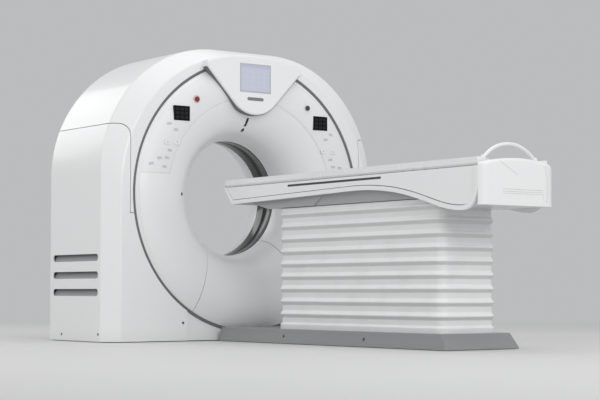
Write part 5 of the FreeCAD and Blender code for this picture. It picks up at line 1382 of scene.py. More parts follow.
@dataclass(frozen=True)
class Flare:
    """A dished cover's section: a crest, an arc in to a tangent and an arc to the throat.

    Depth counts into the bore from the section's own front.
    """

    crest_radius: float
    crest_depth: float
    throat_radius: float
    throat_depth: float
    throat_curve: float

    def crest_curve(self) -> float:
        """The radius of the arc at the crest, which meets the throat's arc smoothly.

        Returns:
            The radius.
        """
        reach = self.crest_radius - self.throat_radius
        depth = self.throat_depth - self.crest_depth
        return ((reach ** 2 - 2 * reach * self.throat_curve + depth ** 2)
                / (2 * (depth - self.throat_curve)))

    def points(self, steps: int) -> Profile:
        """The section from crest to throat.

        Args:
            steps: The number of pieces of each of its two arcs.

        Returns:
            Its points, as (radius, depth).
        """
        curve = self.crest_curve()
        first = (self.crest_radius, self.crest_depth + curve)
        second = (self.throat_radius + self.throat_curve, self.throat_depth)
        away = (first[0] - second[0], first[1] - second[1])
        sign = 1.0 if self.throat_curve > curve else -1.0
        turn = math.atan2(sign * away[1], sign * away[0])
        if turn > 0:
            turn -= 2 * math.pi
        lip = arc(first, curve, -math.pi / 2, turn, steps)
        throat = arc(second, self.throat_curve, turn, -math.pi, steps)
        return lip + throat[1:]


@dataclass
class GantryCovers:
    """The dished front in two pieces, its seal, the beam window, the rear dish and the housing."""

    shop: Workshop
    wall: float = 0.007
    columns: int = 176
    seam_half: float = 0.002
    seam_slope: float = 0.378
    seam_top: tuple[float, float] = (0.26747, 0.67017)
    front: Flare = Flare(crest_radius=0.750, crest_depth=-0.032, throat_radius=0.390,
                         throat_depth=0.268, throat_curve=0.280)
    front_rim_curve: float = 0.262
    front_rim_back: float = 0.025
    front_rim_step: float = 0.003
    ring_line_radius: float = 0.862
    ring_line_width: float = 0.0022
    ring_line_depth: float = 0.0016
    ring_line_floor: float = 0.6
    rear: Flare = Flare(crest_radius=0.720, crest_depth=0.0, throat_radius=0.390,
                        throat_depth=0.438, throat_curve=0.520)
    rear_face: float = 0.858
    rear_rim_radius: float = 0.860
    rear_rim_curve: float = 0.900
    rear_rim_step: float = 0.002
    rear_flange: float = 0.030
    skin_edge: float = 0.0012
    skin_crease: float = 50.0
    front_round: float = 0.028
    side_round: float = 0.010
    chamfer_back: float = 0.090
    crease_reach: float = 2e-4
    crease_turns: tuple[float, float] = (8.0, 70.0)
    crease_lean: float = 0.2
    crease_clearance: float = 0.012
    vane_setback: float = 0.0045
    vane_depths: tuple[float, float] = (0.11, 0.73)
    vane_heights: tuple[float, float] = (0.27, 0.58)
    seal_wall: float = 0.002
    seal_gaps: tuple[float, float] = (0.0006, 0.0004)
    seal_crown: float = 0.0045
    seal_flatness: float = 0.45
    window_wall: float = 0.005
    edge_hoop: float = 0.004
    edge_hoop_rise: float = 0.0008
    edge_hoop_slope: float = 0.001
    dark_reach: float = 0.085

    def __post_init__(self) -> None:
        """Reads the axis and the seal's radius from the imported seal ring."""
        low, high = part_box("front_seal_ring")
        self.axis = (low.z + high.z) / 2
        self.seal_outer = (high.x - low.x) / 2
        self.seal_front, self.seal_back = low.y, high.y
        self.seal_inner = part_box("front_cover")[1].x
        self.throat_y, self.window_end = (corner.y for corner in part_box("scan_window_ring"))

    def build(self) -> None:
        """Makes every cover of the gantry."""
        self.front_pieces()
        self.seal_ring()
        self.beam_window()
        self.rear_dish()
        self.shop.recast("top_shroud", edge=0.0014, crease=24.0, soften=self.soften_face)
        for node in ("left_side_cover", "right_side_cover"):
            piece = self.shop.recast(node, edge=0.0014, crease=24.0, soften=self.soften_face)
            outer = max(abs(vertex.co.x) for vertex in piece.data.vertices)
            # Painted shade: the vanes behind the louvre slots are greyed to stand for the shade in the
            # vents.
            self.shop.paint(piece, LOUVRE_PAINTED_SHADE.material(),
                            lambda centre, normal, outer=outer: self.is_vane(outer, centre, normal))
        self.shop.recast("plinth_cover", edge=0.0012, material=self.shop.material(Slot.WHITE_COVER))

    def is_vane(self, outer: float, centre: Vector, normal: Vector) -> bool:
        """Whether a side cover's face belongs to a vane behind a louvre slot.

        Args:
            outer: How far the cover's outside lies from the middle.
            centre: The face's centre.
            normal: The face's normal.

        Returns:
            True for the faces of a vane that turn outwards.
        """
        inside = abs(centre.x) < outer - self.vane_setback and normal.x * centre.x > 0.02
        ranges = ((self.vane_depths, centre.y), (self.vane_heights, centre.z))
        return inside and all(low < value < high for (low, high), value in ranges)

    def soften_face(self, mesh: bpy.types.Mesh) -> None:
        """Rounds the two creases between the housing's front face and its sides.

        Args:
            mesh: A housing cover's merged mesh, changed in place.
        """
        for depth, width in ((0.0, self.front_round), (self.chamfer_back, self.side_round)):
            with edited(mesh) as work:
                creases = [edge for edge in work.edges if self.is_crease(edge, depth)]
                bmesh.ops.bevel(work, geom=creases, offset=width, offset_type="OFFSET", segments=6,
                                profile=0.5, affect="EDGES", clamp_overlap=True)

    def is_crease(self, edge: bmesh.types.BMEdge, depth: float) -> bool:
        """Whether an edge belongs to a crease of the housing.

        Args:
            edge: The edge.
            depth: The y of the crease.

        Returns:
            True for an outer edge at that depth, outside the seal, with a moderate turn.
        """
        first, last = (vertex.co for vertex in edge.verts)
        off = max(abs(first.y - depth), abs(last.y - depth))
        middle = (first + last) / 2
        away = math.hypot(middle.x, middle.z - self.axis)
        if off > self.crease_reach or away <= self.seal_outer + self.crease_clearance:
            return False
        if len(edge.link_faces) != 2:
            return False
        out = Vector((middle.x, -self.crease_lean, middle.z - self.axis))
        low, high = (math.radians(limit) for limit in self.crease_turns)
        return (all(face.normal.dot(out) > 0 for face in edge.link_faces)
                and low < edge.calc_face_angle(0.0) < high)

    def rim_depth(self, radius: float) -> float:
        """The depth of the front cover's rolled rim at a radius.

        Args:
            radius: The distance from the bore's axis.

        Returns:
            The y of the rim there.
        """
        curve = self.front_rim_curve
        away = radius - self.front.crest_radius
        return self.front.crest_depth + curve - math.sqrt(curve ** 2 - away ** 2)

    def front_profile(self) -> Profile:
        """The front covers' section from the back of the rim to the throat.

        Returns:
            Its points, as (radius, y).
        """
        rim = self.seal_inner
        line, half = self.ring_line_radius, self.ring_line_width / 2
        radii = [rim - (rim - line - half) * k / 4 for k in range(5)]
        floor = self.ring_line_floor * half
        profile = [(rim, self.front_rim_back), (rim, self.rim_depth(rim) + self.front_rim_step)]
        profile += [(r, self.rim_depth(r)) for r in radii]
        profile += [(r, self.rim_depth(r) + self.ring_line_depth) for r in (line + floor, line - floor)]
        inner = [line - half - (line - half - self.front.crest_radius) * k / 10 for k in range(10)]
        profile += [(r, self.rim_depth(r)) for r in inner]
        return profile + self.front.points(22) + [(self.front.throat_radius, self.throat_y)]

    def seam_angle(self, radius: float, gap: float) -> float:
        """The angle below the horizontal at which the slanted seam crosses a radius.

        Args:
            radius: The distance from the bore's axis.
            gap: How far the edge stands outside the seam's line.

        Returns:
            The angle from +X, in radians, negative below the axis.
        """
        slope = self.seam_slope
        reach = self.seam_top[0] + gap + (self.seam_top[1] - self.axis) * slope
        lean = math.atan(slope)
        return lean - math.acos(reach / (radius * math.hypot(1.0, slope)))

    def skin(self, name: str, profile: Profile, span: Callable[[float], tuple[float, float]],
             columns: int, rear: bool = False) -> bpy.types.Object:
        """Sweeps a section round the bore's axis.

        Args:
            name: The piece's name.
            profile: The section, as (radius, y), from the rim to the throat.
            span: The first and last angle of the sweep at a radius.
            columns: The number of faces round the sweep.
            rear: Whether the section runs the other way, so that its faces turn outwards.

        Returns:
            The new object.
        """
        first = span(profile[0][0])
        whole = abs(abs(first[1] - first[0]) - 2 * math.pi) < 1e-6
        rows = []
        for radius, y in profile:
            start, end = span(radius)
            count = columns if whole else columns + 1
            turns = (start + (end - start) * k / columns for k in range(count))
            rows.append([Vector((radius * math.cos(a), y, self.axis + radius * math.sin(a)))
                         for a in turns])
        mesh = grid_mesh(name, rows, closed=whole, turned=rear)
        mark_creases(mesh, 40.0)
        return linked(name, mesh)

    def full_turn(self, radius: float) -> tuple[float, float]:
        """The sweep of a piece that goes all the way round, the same at every radius."""
        return 0.0, 2 * math.pi

    def front_pieces(self) -> None:
        """Makes the upper and the lower front cover, with the slanted seams between them."""
        profile = self.front_profile()

        def upper(radius: float) -> tuple[float, float]:
            """The sweep over the top, from seam to seam."""
            angle = self.seam_angle(radius, self.seam_half)
            return angle, math.pi - angle

        def lower(radius: float) -> tuple[float, float]:
            """The sweep below, from seam to seam."""
            angle = self.seam_angle(radius, -self.seam_half)
            return -math.pi - angle, angle

        for name, span, columns in (("front_cover", upper, self.columns),
                                    ("lower_front_cover", lower, self.columns // 3)):
            piece = self.skin(name + "_skin", profile, span, columns)
            thicken(piece, self.wall)
            round_edges(piece, self.skin_edge, self.skin_crease)
            self.shop.fit(piece, FIXED_BODY, Slot.WHITE_COVER, [name])

    def seal_ring(self) -> None:
        """Makes the rubber seal between the dished cover and the housing, softly crowned."""
        inner, outer = self.seal_inner + self.seal_gaps[0], self.seal_outer - self.seal_gaps[1]
        middle, half = (inner + outer) / 2, (outer - inner) / 2
        shoulder = self.seal_front + self.seal_crown
        profile = [(outer, self.seal_back)]
        for radius, y in arc((middle, shoulder), half, 0.0, -math.pi, 12):
            flat = shoulder + (y - self.seal_front - self.seal_crown) * self.seal_flatness
            profile.append((radius, max(flat, self.seal_front)))
        profile.append((inner, self.seal_back))
        piece = self.skin("seal_ring_skin", profile, self.full_turn, self.columns)
        thicken(piece, self.seal_wall)
        self.shop.fit(piece, FIXED_BODY, Slot.SEAL, ["front_seal_ring"])

    def beam_window(self) -> None:
        """Makes the dark window band, with a fine raised hoop at each edge."""
        radius, low, high = self.front.throat_radius, self.throat_y, self.window_end
        hoop, slope, raised = self.edge_hoop, self.edge_hoop_slope, radius + self.edge_hoop_rise
        profile = [(raised, low), (radius, low + slope), (radius, low + hoop),
                   (raised, low + hoop + slope), (raised, high - hoop - slope),
                   (radius, high - hoop), (radius, high - slope), (raised, high)]
        piece = self.skin("beam_window_band", profile, self.full_turn, self.columns)
        thicken(piece, self.window_wall)
        self.shop.fit(piece, FIXED_BODY, Slot.WINDOW, ["scan_window_ring"])

    def rear_dish(self) -> None:
        """Makes the rear cover, whose section is counted from its own rear face."""
        face = self.rear_face

        def rim(radius: float) -> float:
            """The y of the rolled rim at a radius."""
            away = radius - self.rear.crest_radius
            return face - self.rear_rim_curve + math.sqrt(self.rear_rim_curve ** 2 - away ** 2)

        edge = self.rear_rim_radius
        radii = [edge - (edge - self.rear.crest_radius) * k / 8 for k in range(8)]
        profile = [(edge, face - self.rear_flange), (edge, rim(edge) - self.rear_rim_step)]
        profile += [(r, rim(r)) for r in radii]
        profile += [(r, face - depth) for r, depth in self.rear.points(20)]
        profile += [(self.rear.throat_radius, self.window_end)]
        piece = self.skin("rear_cover_skin", profile, self.full_turn, self.columns, rear=True)
        thicken(piece, self.wall)
        round_edges(piece, self.skin_edge, self.skin_crease)
        self.shop.fit(piece, FIXED_BODY, Slot.WHITE_COVER, ["rear_cover"])
        self.shop.paint(piece, self.shop.material(Slot.WINDOW),
                        lambda centre, normal: centre.y < self.window_end + self.dark_reach)


# ---------------------------------------------------------------- console and controls


@dataclass
class FrontControls:
    """The shield console with its screen, the displays, the buttons and the membrane keys."""

    shop: Workshop
    covers: GantryCovers
    side_angle: float = math.radians(46.7)
    tip_radius: float = 0.223
    shadow_gap: float = 0.0005
    shadow_wall: float = 0.0035
    shadow_front: float = -0.046
    shadow_back: float = -0.004
    key_headings: tuple[tuple[str, float], ...] = (
        ("couch_down_key", -90.0), ("couch_up_key", 90.0), ("cradle_in_key", 0.0),
        ("cradle_out_key", 180.0))
    key_places: tuple[tuple[float, float], ...] = (
        (0.654, 1.401), (0.606, 1.364), (0.650, 1.228), (0.728, 1.175), (0.672, 1.179),
        (0.786, 1.138), (0.690, 1.121))
    key_width: float = 0.034
    key_depth: float = 0.018
    key_corner: float = 0.005
    key_rise: float = 0.0007
    laser_top: float = 0.452
    laser_side: float = 0.518
    bezel_radii: tuple[float, float] = (0.0045, 0.011)
    surround_growth: tuple[float, float] = (1.06, 1.55)
    slit: tuple[float, float, float] = (0.0045, 1.434, 1.477)
    slit_grow: float = 0.005
    strip_half: float = 0.066
    strip_drop: float = 0.054
    strip_height: float = 0.022
    strip_depths: tuple[float, float] = (-0.0008, 0.002)
    film: float = 0.0016
    ink_depths: tuple[float, float] = (-0.0004, 0.0005)
    arrow_share: float = 0.2
    arrow_turns: tuple[float, ...] = (0.0, 140.0, 220.0)
    arrow_depths: tuple[float, float] = (-0.0002, 0.0006)

    def build(self) -> None:
        """Makes every control on the gantry's front."""
        self.shop.recast("console_housing", edge=0.002, crease=24.0)
        self.shop.recast("console_screen", edge=0.0012)
        self.shop.recast("laser_windows", edge=0.0006)
        self.console_painted_shadow()
        self.status_bar()
        for side in ("left", "right"):
            self.shop.recast(f"{side}_control_panel", edge=0.0004, crease=20.0)
            self.shop.recast(f"{side}_position_display", edge=0.002, material=DISPLAY_GLASS.material())
        for node in ("emergency_stop_button", "intercom_button"):
            self.shop.recast(node, edge=0.0006, crease=50.0)
        self.stop_surround()
        self.laser_bezels()
        for node, heading in self.key_headings:
            self.shop.recast(node, edge=0.0012)
            self.arrow(node, heading)
        self.membrane_keys()

    def console_painted_shadow(self) -> None:
        """Makes a dark band round the console's sides, painted shadow standing for the shaded gap and
        side wall.
        """
        low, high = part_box("console_housing")
        half, tip = high.x, low.z
        rows = []
        for grow in (self.shadow_gap, self.shadow_gap + self.shadow_wall):
            radius = self.tip_radius + grow
            centre_z = tip + self.tip_radius
            bend = arc((0.0, centre_z), radius, -math.pi / 2 - self.side_angle,
                       -math.pi / 2 + self.side_angle, 24)
            shoulder = bend[-1][1] + (half + grow - bend[-1][0]) * math.tan(self.side_angle)
            rows.append([(-half - grow, shoulder)] + bend + [(half + grow, shoulder)])
        inner, outer = rows
        front, back = self.shadow_front, self.shadow_back
        ring = [[Vector((x, y, z)) for x, z in line]
                for line, y in ((inner, front), (outer, front), (outer, back), (inner, back))]
        mesh = grid_mesh("console_shadow_band", ring, ends_closed=True)
        close_up(mesh, fill=True)
        mark_creases(mesh, 35.0)
        # Painted shadow: this dark band in the seal's rubber finish stands for the shade round the
        # console's sides.
        self.shop.fit(linked("console_shadow_band", mesh), FIXED_BODY, Slot.SEAL)

    def stop_surround(self) -> None:
        """Prints the pale ring on the film round the stop button."""
        low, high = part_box("emergency_stop_button")
        x, z, radius = (low.x + high.x) / 2, (low.z + high.z) / 2, (high.x - low.x) / 2
        inner, outer = (circle((x, z), grow * radius, 48) for grow in self.surround_growth)
        self.printed_ring("stop_surround", inner, outer, self.surface, STOP_RIM_INK)

    def printed_ring(self, name: str, inner: Profile, outer: Profile,
                     surface: Callable[[float, float], tuple[Vector, Vector]], finish: Finish) -> None:
        """Prints a thin ring between two outlines onto a curved surface.

        Args:
            name: The piece's name.
            inner: The inner outline, as (x, z).
            outer: The outer outline, with as many points.
            surface: Gives the surface's point and outward direction at an (x, z).
            finish: The ring's finish.
        """
        sunk, proud = self.ink_depths
        rows = []
        for line, rise in ((inner, sunk), (inner, proud), (outer, proud), (outer, sunk)):
            places = (surface(x, z) for x, z in line)
            rows.append([point + rise * out for point, out in places])
        mesh = grid_mesh(name, rows, closed=True, ends_closed=True)
        close_up(mesh)
        self.shop.fit(linked(name, mesh), FIXED_BODY, Slot.OVERLAY, material=finish.material())

    def dish(self, x: float, z: float) -> tuple[Vector, Vector]:
        """A point on the dished cover inside its crest and the direction out of it.

        Args:
            x: Its place across the gantry.
            z: Its height.

        Returns:
            The point and the unit direction.
        """
        radius = math.hypot(x, z - self.covers.axis)
        turn = math.atan2(z - self.covers.axis, x)
        line = self.covers.front.points(60)
        index = next(k for k in range(len(line) - 1) if line[k + 1][0] <= radius or k == len(line) - 2)
        (far, shallow), (near, deep) = line[index], line[index + 1]
        depth = shallow + (deep - shallow) * (far - radius) / (far - near)
        away = Vector((shallow - deep, near - far)).normalized()
        spoke = Vector((math.cos(turn), 0.0, math.sin(turn)))
        centre = Vector((0.0, depth, self.covers.axis))
        return centre + radius * spoke, away.x * spoke + Vector((0.0, away.y, 0.0))

    def laser_bezels(self) -> None:
        """Prints a dark surround round each window of the positioning lasers."""
        axis = self.covers.axis
        for name, centre in (("top", (0.0, axis + self.laser_top)), ("left", (-self.laser_side, axis)),
                             ("right", (self.laser_side, axis))):
            inner, outer = (circle(centre, radius, 32) for radius in self.bezel_radii)
            self.printed_ring(f"{name}_laser_bezel", inner, outer, self.dish, LENS_BEZEL)
        half, foot, top = self.slit
        inner, outer = ([(side * (half + grow), z) for side, z in
                         ((1, foot - grow), (1, (foot + top) / 2), (1, top + grow),
                          (-1, top + grow), (-1, (foot + top) / 2), (-1, foot - grow))]
                        for grow in (0.0, self.slit_grow))
        self.printed_ring("slit_laser_bezel", inner, outer, self.dish, LENS_BEZEL)

    def status_bar(self) -> None:
        """Makes the slim dark status strip below the screen."""
        low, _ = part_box("console_screen")
        half, bottom, corner = self.strip_half, low.z - self.strip_drop, self.strip_height / 2
        ends = (arc((half - corner, bottom + corner), corner, -math.pi / 2, math.pi / 2, 8)
                + arc((-half + corner, bottom + corner), corner, math.pi / 2, 1.5 * math.pi, 8))
        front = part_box("console_housing")[0].y
        rows = [[Vector((x, front + depth, z)) for x, z in ends] for depth in self.strip_depths]
        mesh = grid_mesh("status_strip", rows, closed=True)
        close_up(mesh, fill=True)
        piece = linked("status_strip", mesh)
        round_edges(piece, width=0.0003)
        self.shop.fit(piece, FIXED_BODY, Slot.BUTTON_BLACK, material=STATUS_LENS.material())

    def arrow(self, node: str, heading: float) -> None:
        """Prints a plain arrow head on a key.

        Args:
            node: The key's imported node.
            heading: The arrow's direction, in degrees from +X towards +Z.
        """
        low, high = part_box(node)
        centre = (low + high) / 2
        half = self.arrow_share * (high.z - low.z)
        turns = [math.radians(heading + step) for step in self.arrow_turns]
        flat = [(centre.x + half * math.cos(a), centre.z + half * math.sin(a)) for a in turns]
        points = [Vector((x, low.y + depth, z)) for depth in self.arrow_depths for x, z in flat]
        mesh = new_mesh(node + "_arrow", points,
                        [(0, 1, 2), (3, 5, 4), (0, 3, 4, 1), (1, 4, 5, 2), (2, 5, 3, 0)])
        close_up(mesh)
        self.shop.fit(linked(node + "_arrow", mesh), self.shop.body_of(node), Slot.OVERLAY,
                      material=ARROW_INK.material())

    def surface(self, x: float, z: float) -> tuple[Vector, Vector]:
        """A point on the control film and the direction out of it.

        Args:
            x: Its place across the gantry.
            z: Its height.

        Returns:
            The point and the unit direction.
        """
        radius = math.hypot(x, z - self.covers.axis)
        turn = math.atan2(z - self.covers.axis, x)
        flare = self.covers.front
        on_rim = radius > flare.crest_radius
        curve = self.covers.front_rim_curve if on_rim else flare.crest_curve()
        centre = (flare.crest_radius, flare.crest_depth + curve)
        away = radius - centre[0]
        depth = centre[1] - math.sqrt(curve ** 2 - away ** 2)
        out = Vector((away, depth - centre[1])).normalized()
        reach = radius + self.film * out.x
        point = Vector((reach * math.cos(turn), depth + self.film * out.y,
                        self.covers.axis + reach * math.sin(turn)))
        return point, Vector((out.x * math.cos(turn), out.y, out.x * math.sin(turn)))

    def membrane_keys(self) -> None:
        """Prints the rows of flat keys on both films, clear of the moving keys."""
        keys = PrintedKeys()
        for side, name in ((-1, "left"), (1, "right")):
            places = [self.surface(side * x, z) for x, z in self.key_places]
            piece = keys.apply(f"{name}_membrane_keys", guide_points("key_places", places), {
                "Width": self.key_width, "Depth": self.key_depth, "Corner": self.key_corner,
                "Rise": self.key_rise, "Material": KEY_INK.material()})
            self.shop.fit(piece, FIXED_BODY, Slot.OVERLAY)


# ---------------------------------------------------------------- couch


@dataclass
class Couch:
    """The couch top with its panels and cradle, the folded sleeve and the floor cover."""

    shop: Workshop
    fold_depth: float = 0.0115
    folds: int = 9
    collar: float = 0.036
    corner: float = 0.062
    corner_steps: int = 12
    run_step: float = 0.06
    fold_steps: int = 24
    sag: float = 0.0024
    seed: float = 3.7
    squeezed: float = 0.398
    bar_radius: float = 0.010
    bar_sink: float = 0.005
    cup_rise: float = 0.014
    cup_taper: float = 0.78
    plug_places: tuple[float, ...] = (-0.75, -1.54)
    plug_height: float = 0.047
    plug_radius: float = 0.011
    plug_rise: float = 0.0022
    face_depth: float = 0.008
    line_depth: float = 0.011
    slot_depth: float = 0.015
    depth_slack: float = 5e-4

    def build(self) -> None:
        """Makes every piece of the couch."""
        for node in ("left_side_panel", "right_side_panel"):
            self.shade_grooves(self.shop.recast(node, edge=0.0012, crease=24.0))
        self.shop.recast("end_cover", edge=0.003, crease=24.0, material=END_CAP_COAT.material())
        # The under tray's grey is painted shade beneath the couch top.
        self.shop.recast("under_cover", edge=0.004, material=UNDER_TRAY_PAINTED_SHADE.material())
        self.shop.recast("cradle", edge=0.004, crease=24.0)
        self.shop.recast("base_skirt", edge=0.003)
        self.skirt_plugs()
        self.hoop()
        self.sleeve()

    def skirt_plugs(self) -> None:
        """Sets the dark plugs in both sides of the floor cover."""
        skirt = self.shop.frame["nodes"]["base_skirt"].data
        tree = BVHTree.FromPolygons([vertex.co for vertex in skirt.vertices],
                                    [tuple(face.vertices) for face in skirt.polygons])
        places = []
        for side in (-1, 1):
            for y in self.plug_places:
                point, out, _, _ = tree.ray_cast(Vector((side, y, self.plug_height)),
                                                 Vector((-side, 0, 0)))
                places.append((point, out if out.x * side > 0 else -out))
        self.shop.set_screws("skirt_plugs", places, self.plug_radius, self.plug_rise)

    def shade_grooves(self, panel: bpy.types.Object) -> None:
        """Darkens the floors and walls of a side panel's fine line and accessory groove, painted shade
        standing for the shade in these recesses.

        Args:
            panel: The panel, whose bead stands furthest out.
        """
        bead = max(abs(vertex.co.x) for vertex in panel.data.vertices)

        def sunk(centre: Vector, normal: Vector) -> bool:
            """Whether a face is a floor or a wall of the line or of the groove.

            Args:
                centre: The face's centre.
                normal: The face's normal.

            Returns:
                True for the faces that get the painted shade.
            """
            is_wall = abs(normal.x) < 0.1
            if not is_wall and (abs(normal.x) <= 0.98 or normal.x * centre.x <= 0):
                return False
            depth = bead - abs(centre.x)
            floors = (self.line_depth, self.slot_depth)
            levels = [(level + self.face_depth) / 2 for level in floors] if is_wall else floors
            return any(abs(depth - level) < self.depth_slack for level in levels)

        # Painted shade: the floors and walls of the line and the groove are darkened.
        self.shop.paint(panel, GROOVE_PAINTED_SHADE.material(), sunk)

    def hoop(self) -> None:
        """Makes the push handle as one smooth bar between its two feet."""
        low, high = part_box("hoop_handle")
        foot_radius = (high.y - low.y) / 2
        bar_radius = self.bar_radius
        y = (low.y + high.y) / 2
        half = high.x - foot_radius
        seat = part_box("cradle")[1].z
        crown = high.z - bar_radius
        rise = crown - (seat - self.bar_sink)
        radius = (half ** 2 + rise ** 2) / (2 * rise)
        swing = math.asin(half / radius)
        line = arc((0.0, crown - radius), radius, math.pi / 2 + swing, math.pi / 2 - swing, 48)
        path = [Vector((x, y, z)) for x, z in line]
        mesh = grid_mesh("hoop_bar", tube_rows(path, bar_radius, 20), closed=True)
        cup_top = seat + self.cup_rise
        with edited(mesh) as work:
            bmesh.ops.holes_fill(work, edges=[e for e in work.edges if e.is_boundary])
            for side in (-1, 1):
                cup = bmesh.ops.create_cone(work, cap_ends=True, segments=32, radius1=foot_radius,
                                            radius2=foot_radius * self.cup_taper,
                                            depth=cup_top - low.z)
                bmesh.ops.translate(work, verts=cup["verts"],
                                    vec=Vector((side * half, y, (cup_top + low.z) / 2)))
            bmesh.ops.recalc_face_normals(work, faces=work.faces)
        mark_creases(mesh, 40.0)
        piece = linked("hoop_bar", mesh)
        round_edges(piece, 0.002)
        self.shop.fit(piece, self.shop.body_of("hoop_handle"), Slot.HANDLE, ["hoop_handle"])

    def sleeve(self) -> None:
        """Makes the folded cover of the lift."""
        low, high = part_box("bellows")
        x, front, rear, r = high.x, high.y, low.y, self.corner
        corners = ((x - r, front - r, 0.0), (-x + r, front - r, 0.5), (-x + r, rear + r, 1.0),
                   (x - r, rear + r, 1.5))
        loop = []
        for cx, cy, start in corners:
            loop += arc((cx, cy), r, start * math.pi, (start + 0.5) * math.pi, self.corner_steps)
        runs = []
        for index, point in enumerate(loop):
            after = loop[(index + 1) % len(loop)]
            pieces = max(1, round(math.dist(point, after) / self.run_step))
            runs += [(point[0] + (after[0] - point[0]) * k / pieces,
                      point[1] + (after[1] - point[1]) * k / pieces) for k in range(pieces)]
        guide = new_mesh("sleeve_loop", [(px, py, low.z) for px, py in runs], [],
                         [(k, (k + 1) % len(runs)) for k in range(len(runs))])
        piece = FoldedSleeve().apply("folded_sleeve", guide, {
            "Height": high.z - low.z, "Collar": self.collar, "Folds": self.folds,
            "Fold Depth": self.fold_depth, "Steps per Fold": self.fold_steps, "Sag": self.sag,
            "Seed": self.seed, "Material": self.shop.material(Slot.BELLOWS_SKIN)})
        self.shop.fit(piece, FIXED_BODY, Slot.BELLOWS_SKIN, ["bellows"])
        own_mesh(piece)


# ---------------------------------------------------------------- fasteners and inner parts


@dataclass
class Fasteners:
    """The button-head screws of the covers."""

    shop: Workshop
    head_radius: float = 0.009
    head_height: float = 0.003
    rear_height: float = 0.044
    front_place: tuple[float, float] = (0.115, 0.052)
    face_place: tuple[float, float] = (0.525, 0.120)

    def build(self) -> None:
        """Sets a screw on each packed screw's place."""
        low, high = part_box("cover_screws")
        side_x = high.x - self.head_height
        face_y = low.y + self.head_height
        places = []
        for side in (-1, 1):
            out = Vector((side, 0.0, 0.0))
            places.append((Vector((side * side_x, high.y - self.head_radius, self.rear_height)), out))
            places.append((Vector((side * side_x, *self.front_place)), out))
            across, height = self.face_place
            places.append((Vector((side * across, face_y, height)), Vector((0.0, -1.0, 0.0))))
        self.shop.set_screws("cover_screw_heads", places, self.head_radius, self.head_height,
                             ["cover_screws"])


@dataclass
class InnerParts:
    """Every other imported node: the frame, drive, turning units and lift."""

    shop: Workshop
    edge: float = 0.0015

    def build(self) -> None:
        """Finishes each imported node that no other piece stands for."""
        for node, item in sorted(self.shop.frame["nodes"].items()):
            if not item.hide_render:
                self.shop.recast(node, self.edge)


# ---------------------------------------------------------------- studio


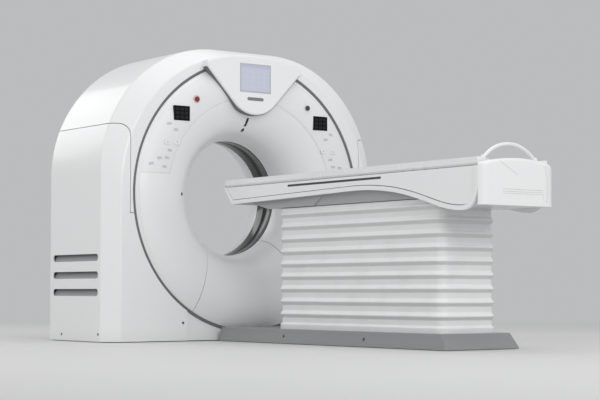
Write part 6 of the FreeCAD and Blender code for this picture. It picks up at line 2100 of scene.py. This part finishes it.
@dataclass
class Studio:
    """The camera at the photograph's place, the pale floor and the soft lamps."""

    camera_place: Place = (-6.16, -8.901, 0.33)
    aim: Place = (-0.06, -0.64, 0.90)
    lens: float = 97.5
    backdrop: Colour = (0.50, 0.505, 0.51)
    floor_colour: Colour = (0.66, 0.66, 0.66)
    daylight: float = 0.63
    floor_reach: float = 60.0
    floor_centre: Place = (0.0, -0.8, 0.0)
    fade: tuple[float, float] = (3.0, 9.0)
    lamps: tuple[tuple[str, Place, Place, float, float], ...] = (
        ("key_softbox", (-2.0, -8.4, 3.8), (0.0, -0.9, 0.8), 3.4, 165.0),
        ("side_softbox", (-6.8, -0.6, 3.2), (0.0, -0.6, 0.8), 3.2, 66.0),
        ("ceiling_softbox", (0.4, -1.7, 5.2), (0.0, -0.9, 0.6), 4.0, 58.0),
        ("fill_softbox", (3.6, -7.2, 2.6), (0.0, -1.4, 0.8), 3.0, 20.0),
        ("rear_softbox", (-2.0, 5.5, 3.6), (0.0, 0.4, 0.9), 3.0, 60.0))

    def build(self) -> None:
        """Makes the camera, the floor, the sky and the lamps."""
        self.camera()
        self.floor()
        self.sky()
        for name, place, aim, size, power in self.lamps:
            self.lamp(name, place, aim, size, power)

    def camera(self) -> None:
        """Sets the camera where the photograph was taken from, aimed at the object."""
        data = bpy.data.cameras.new("camera")
        data.lens = self.lens
        data.sensor_width = 36.0
        data.clip_end = 200.0
        camera = linked("camera", data)
        face_towards(camera, self.camera_place, self.aim)
        bpy.context.scene.camera = camera

    def floor(self) -> None:
        """Lays a plain pale floor that fades into the backdrop."""
        corners = ((-1, -1), (1, -1), (1, 1), (-1, 1))
        mesh = new_mesh("floor", [(self.floor_reach * x, self.floor_reach * y, 0) for x, y in corners],
                        [(0, 1, 2, 3)])
        made = new_material("pale_floor")
        sketch = Sketch(made.node_tree)
        place = sketch.out("ShaderNodeTexCoord", output="Object")
        shifted = sketch.vector_math("SUBTRACT", place, self.floor_centre)
        away = sketch.vector_math("LENGTH", shifted, output="Value")
        far = sketch.remap(away, *self.fade, 0.0, 1.0)
        near = sketch.out("ShaderNodeBsdfPrincipled", {"Base Color": self.floor_colour,
                                                       "Roughness": 0.55, "Specular IOR Level": 0.25})
        haze = sketch.out("ShaderNodeEmission", {"Color": self.backdrop})
        mix = sketch.out("ShaderNodeMixShader", {0: far, 1: near, 2: haze})
        sketch.node("ShaderNodeOutputMaterial", {"Surface": mix})
        mesh.materials.append(made)
        linked("floor", mesh)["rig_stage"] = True

    def sky(self) -> None:
        """Lights the scene evenly, and shows a plain backdrop to the camera and in gloss."""
        world = bpy.data.worlds.new("studio")
        bpy.context.scene.world = world
        world.use_nodes = True
        world.node_tree.nodes.clear()
        sketch = Sketch(world.node_tree)
        ray = sketch.node("ShaderNodeLightPath").outputs
        seen = sketch.math("MAXIMUM", ray["Is Camera Ray"],
                           sketch.math("MAXIMUM", ray["Is Glossy Ray"], ray["Is Transmission Ray"]))
        light = sketch.out("ShaderNodeBackground", {"Color": (1.0, 1.0, 1.0),
                                                    "Strength": self.daylight})
        shown = sketch.out("ShaderNodeBackground", {"Color": self.backdrop})
        mix = sketch.out("ShaderNodeMixShader", {0: seen, 1: light, 2: shown})
        sketch.node("ShaderNodeOutputWorld", {"Surface": mix})

    def lamp(self, name: str, place: Place, aim: Place, size: float, power: float) -> None:
        """Hangs a square softbox.

        Args:
            name: The lamp's name.
            place: Where it hangs.
            aim: The point it faces.
            size: The length of its sides.
            power: Its power in watts.
        """
        data = bpy.data.lights.new(name, "AREA")
        data.shape = "SQUARE"
        data.size = size
        data.energy = power
        face_towards(linked(name, data), place, aim)


# ---------------------------------------------------------------- the whole scene


def clear_scene() -> None:
    """Removes the start-up objects."""
    for item in list(bpy.data.objects):
        bpy.data.objects.remove(item)


def save_sizes(packed: tuple[Vector, Vector], dressed: tuple[Vector, Vector]) -> None:
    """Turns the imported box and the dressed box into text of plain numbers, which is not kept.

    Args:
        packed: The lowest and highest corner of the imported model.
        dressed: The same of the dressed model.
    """
    def numbers(box: tuple[Vector, Vector]) -> str:
        """A box as text."""
        corners = ("[" + ", ".join(f"{c:.5f}" for c in corner) + "]" for corner in box)
        return "[" + ", ".join(corners) + "]"

    '{"cad": ' + numbers(packed) + ', "visual": ' + numbers(dressed) + "}\n"


def main() -> None:
    """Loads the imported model, dresses it and sets the studio round it."""
    logging.basicConfig(level=logging.INFO, format="%(message)s")
    clear_scene()
    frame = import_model()
    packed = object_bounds()
    bpy.context.scene.view_settings.view_transform = "Standard"
    shop = Workshop(frame)
    Studio().build()
    covers = GantryCovers(shop)
    covers.build()
    FrontControls(shop, covers).build()
    Couch(shop).build()
    Fasteners(shop).build()
    InnerParts(shop).build()
    save_sizes(packed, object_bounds())


if __name__ == "__main__":
    main()
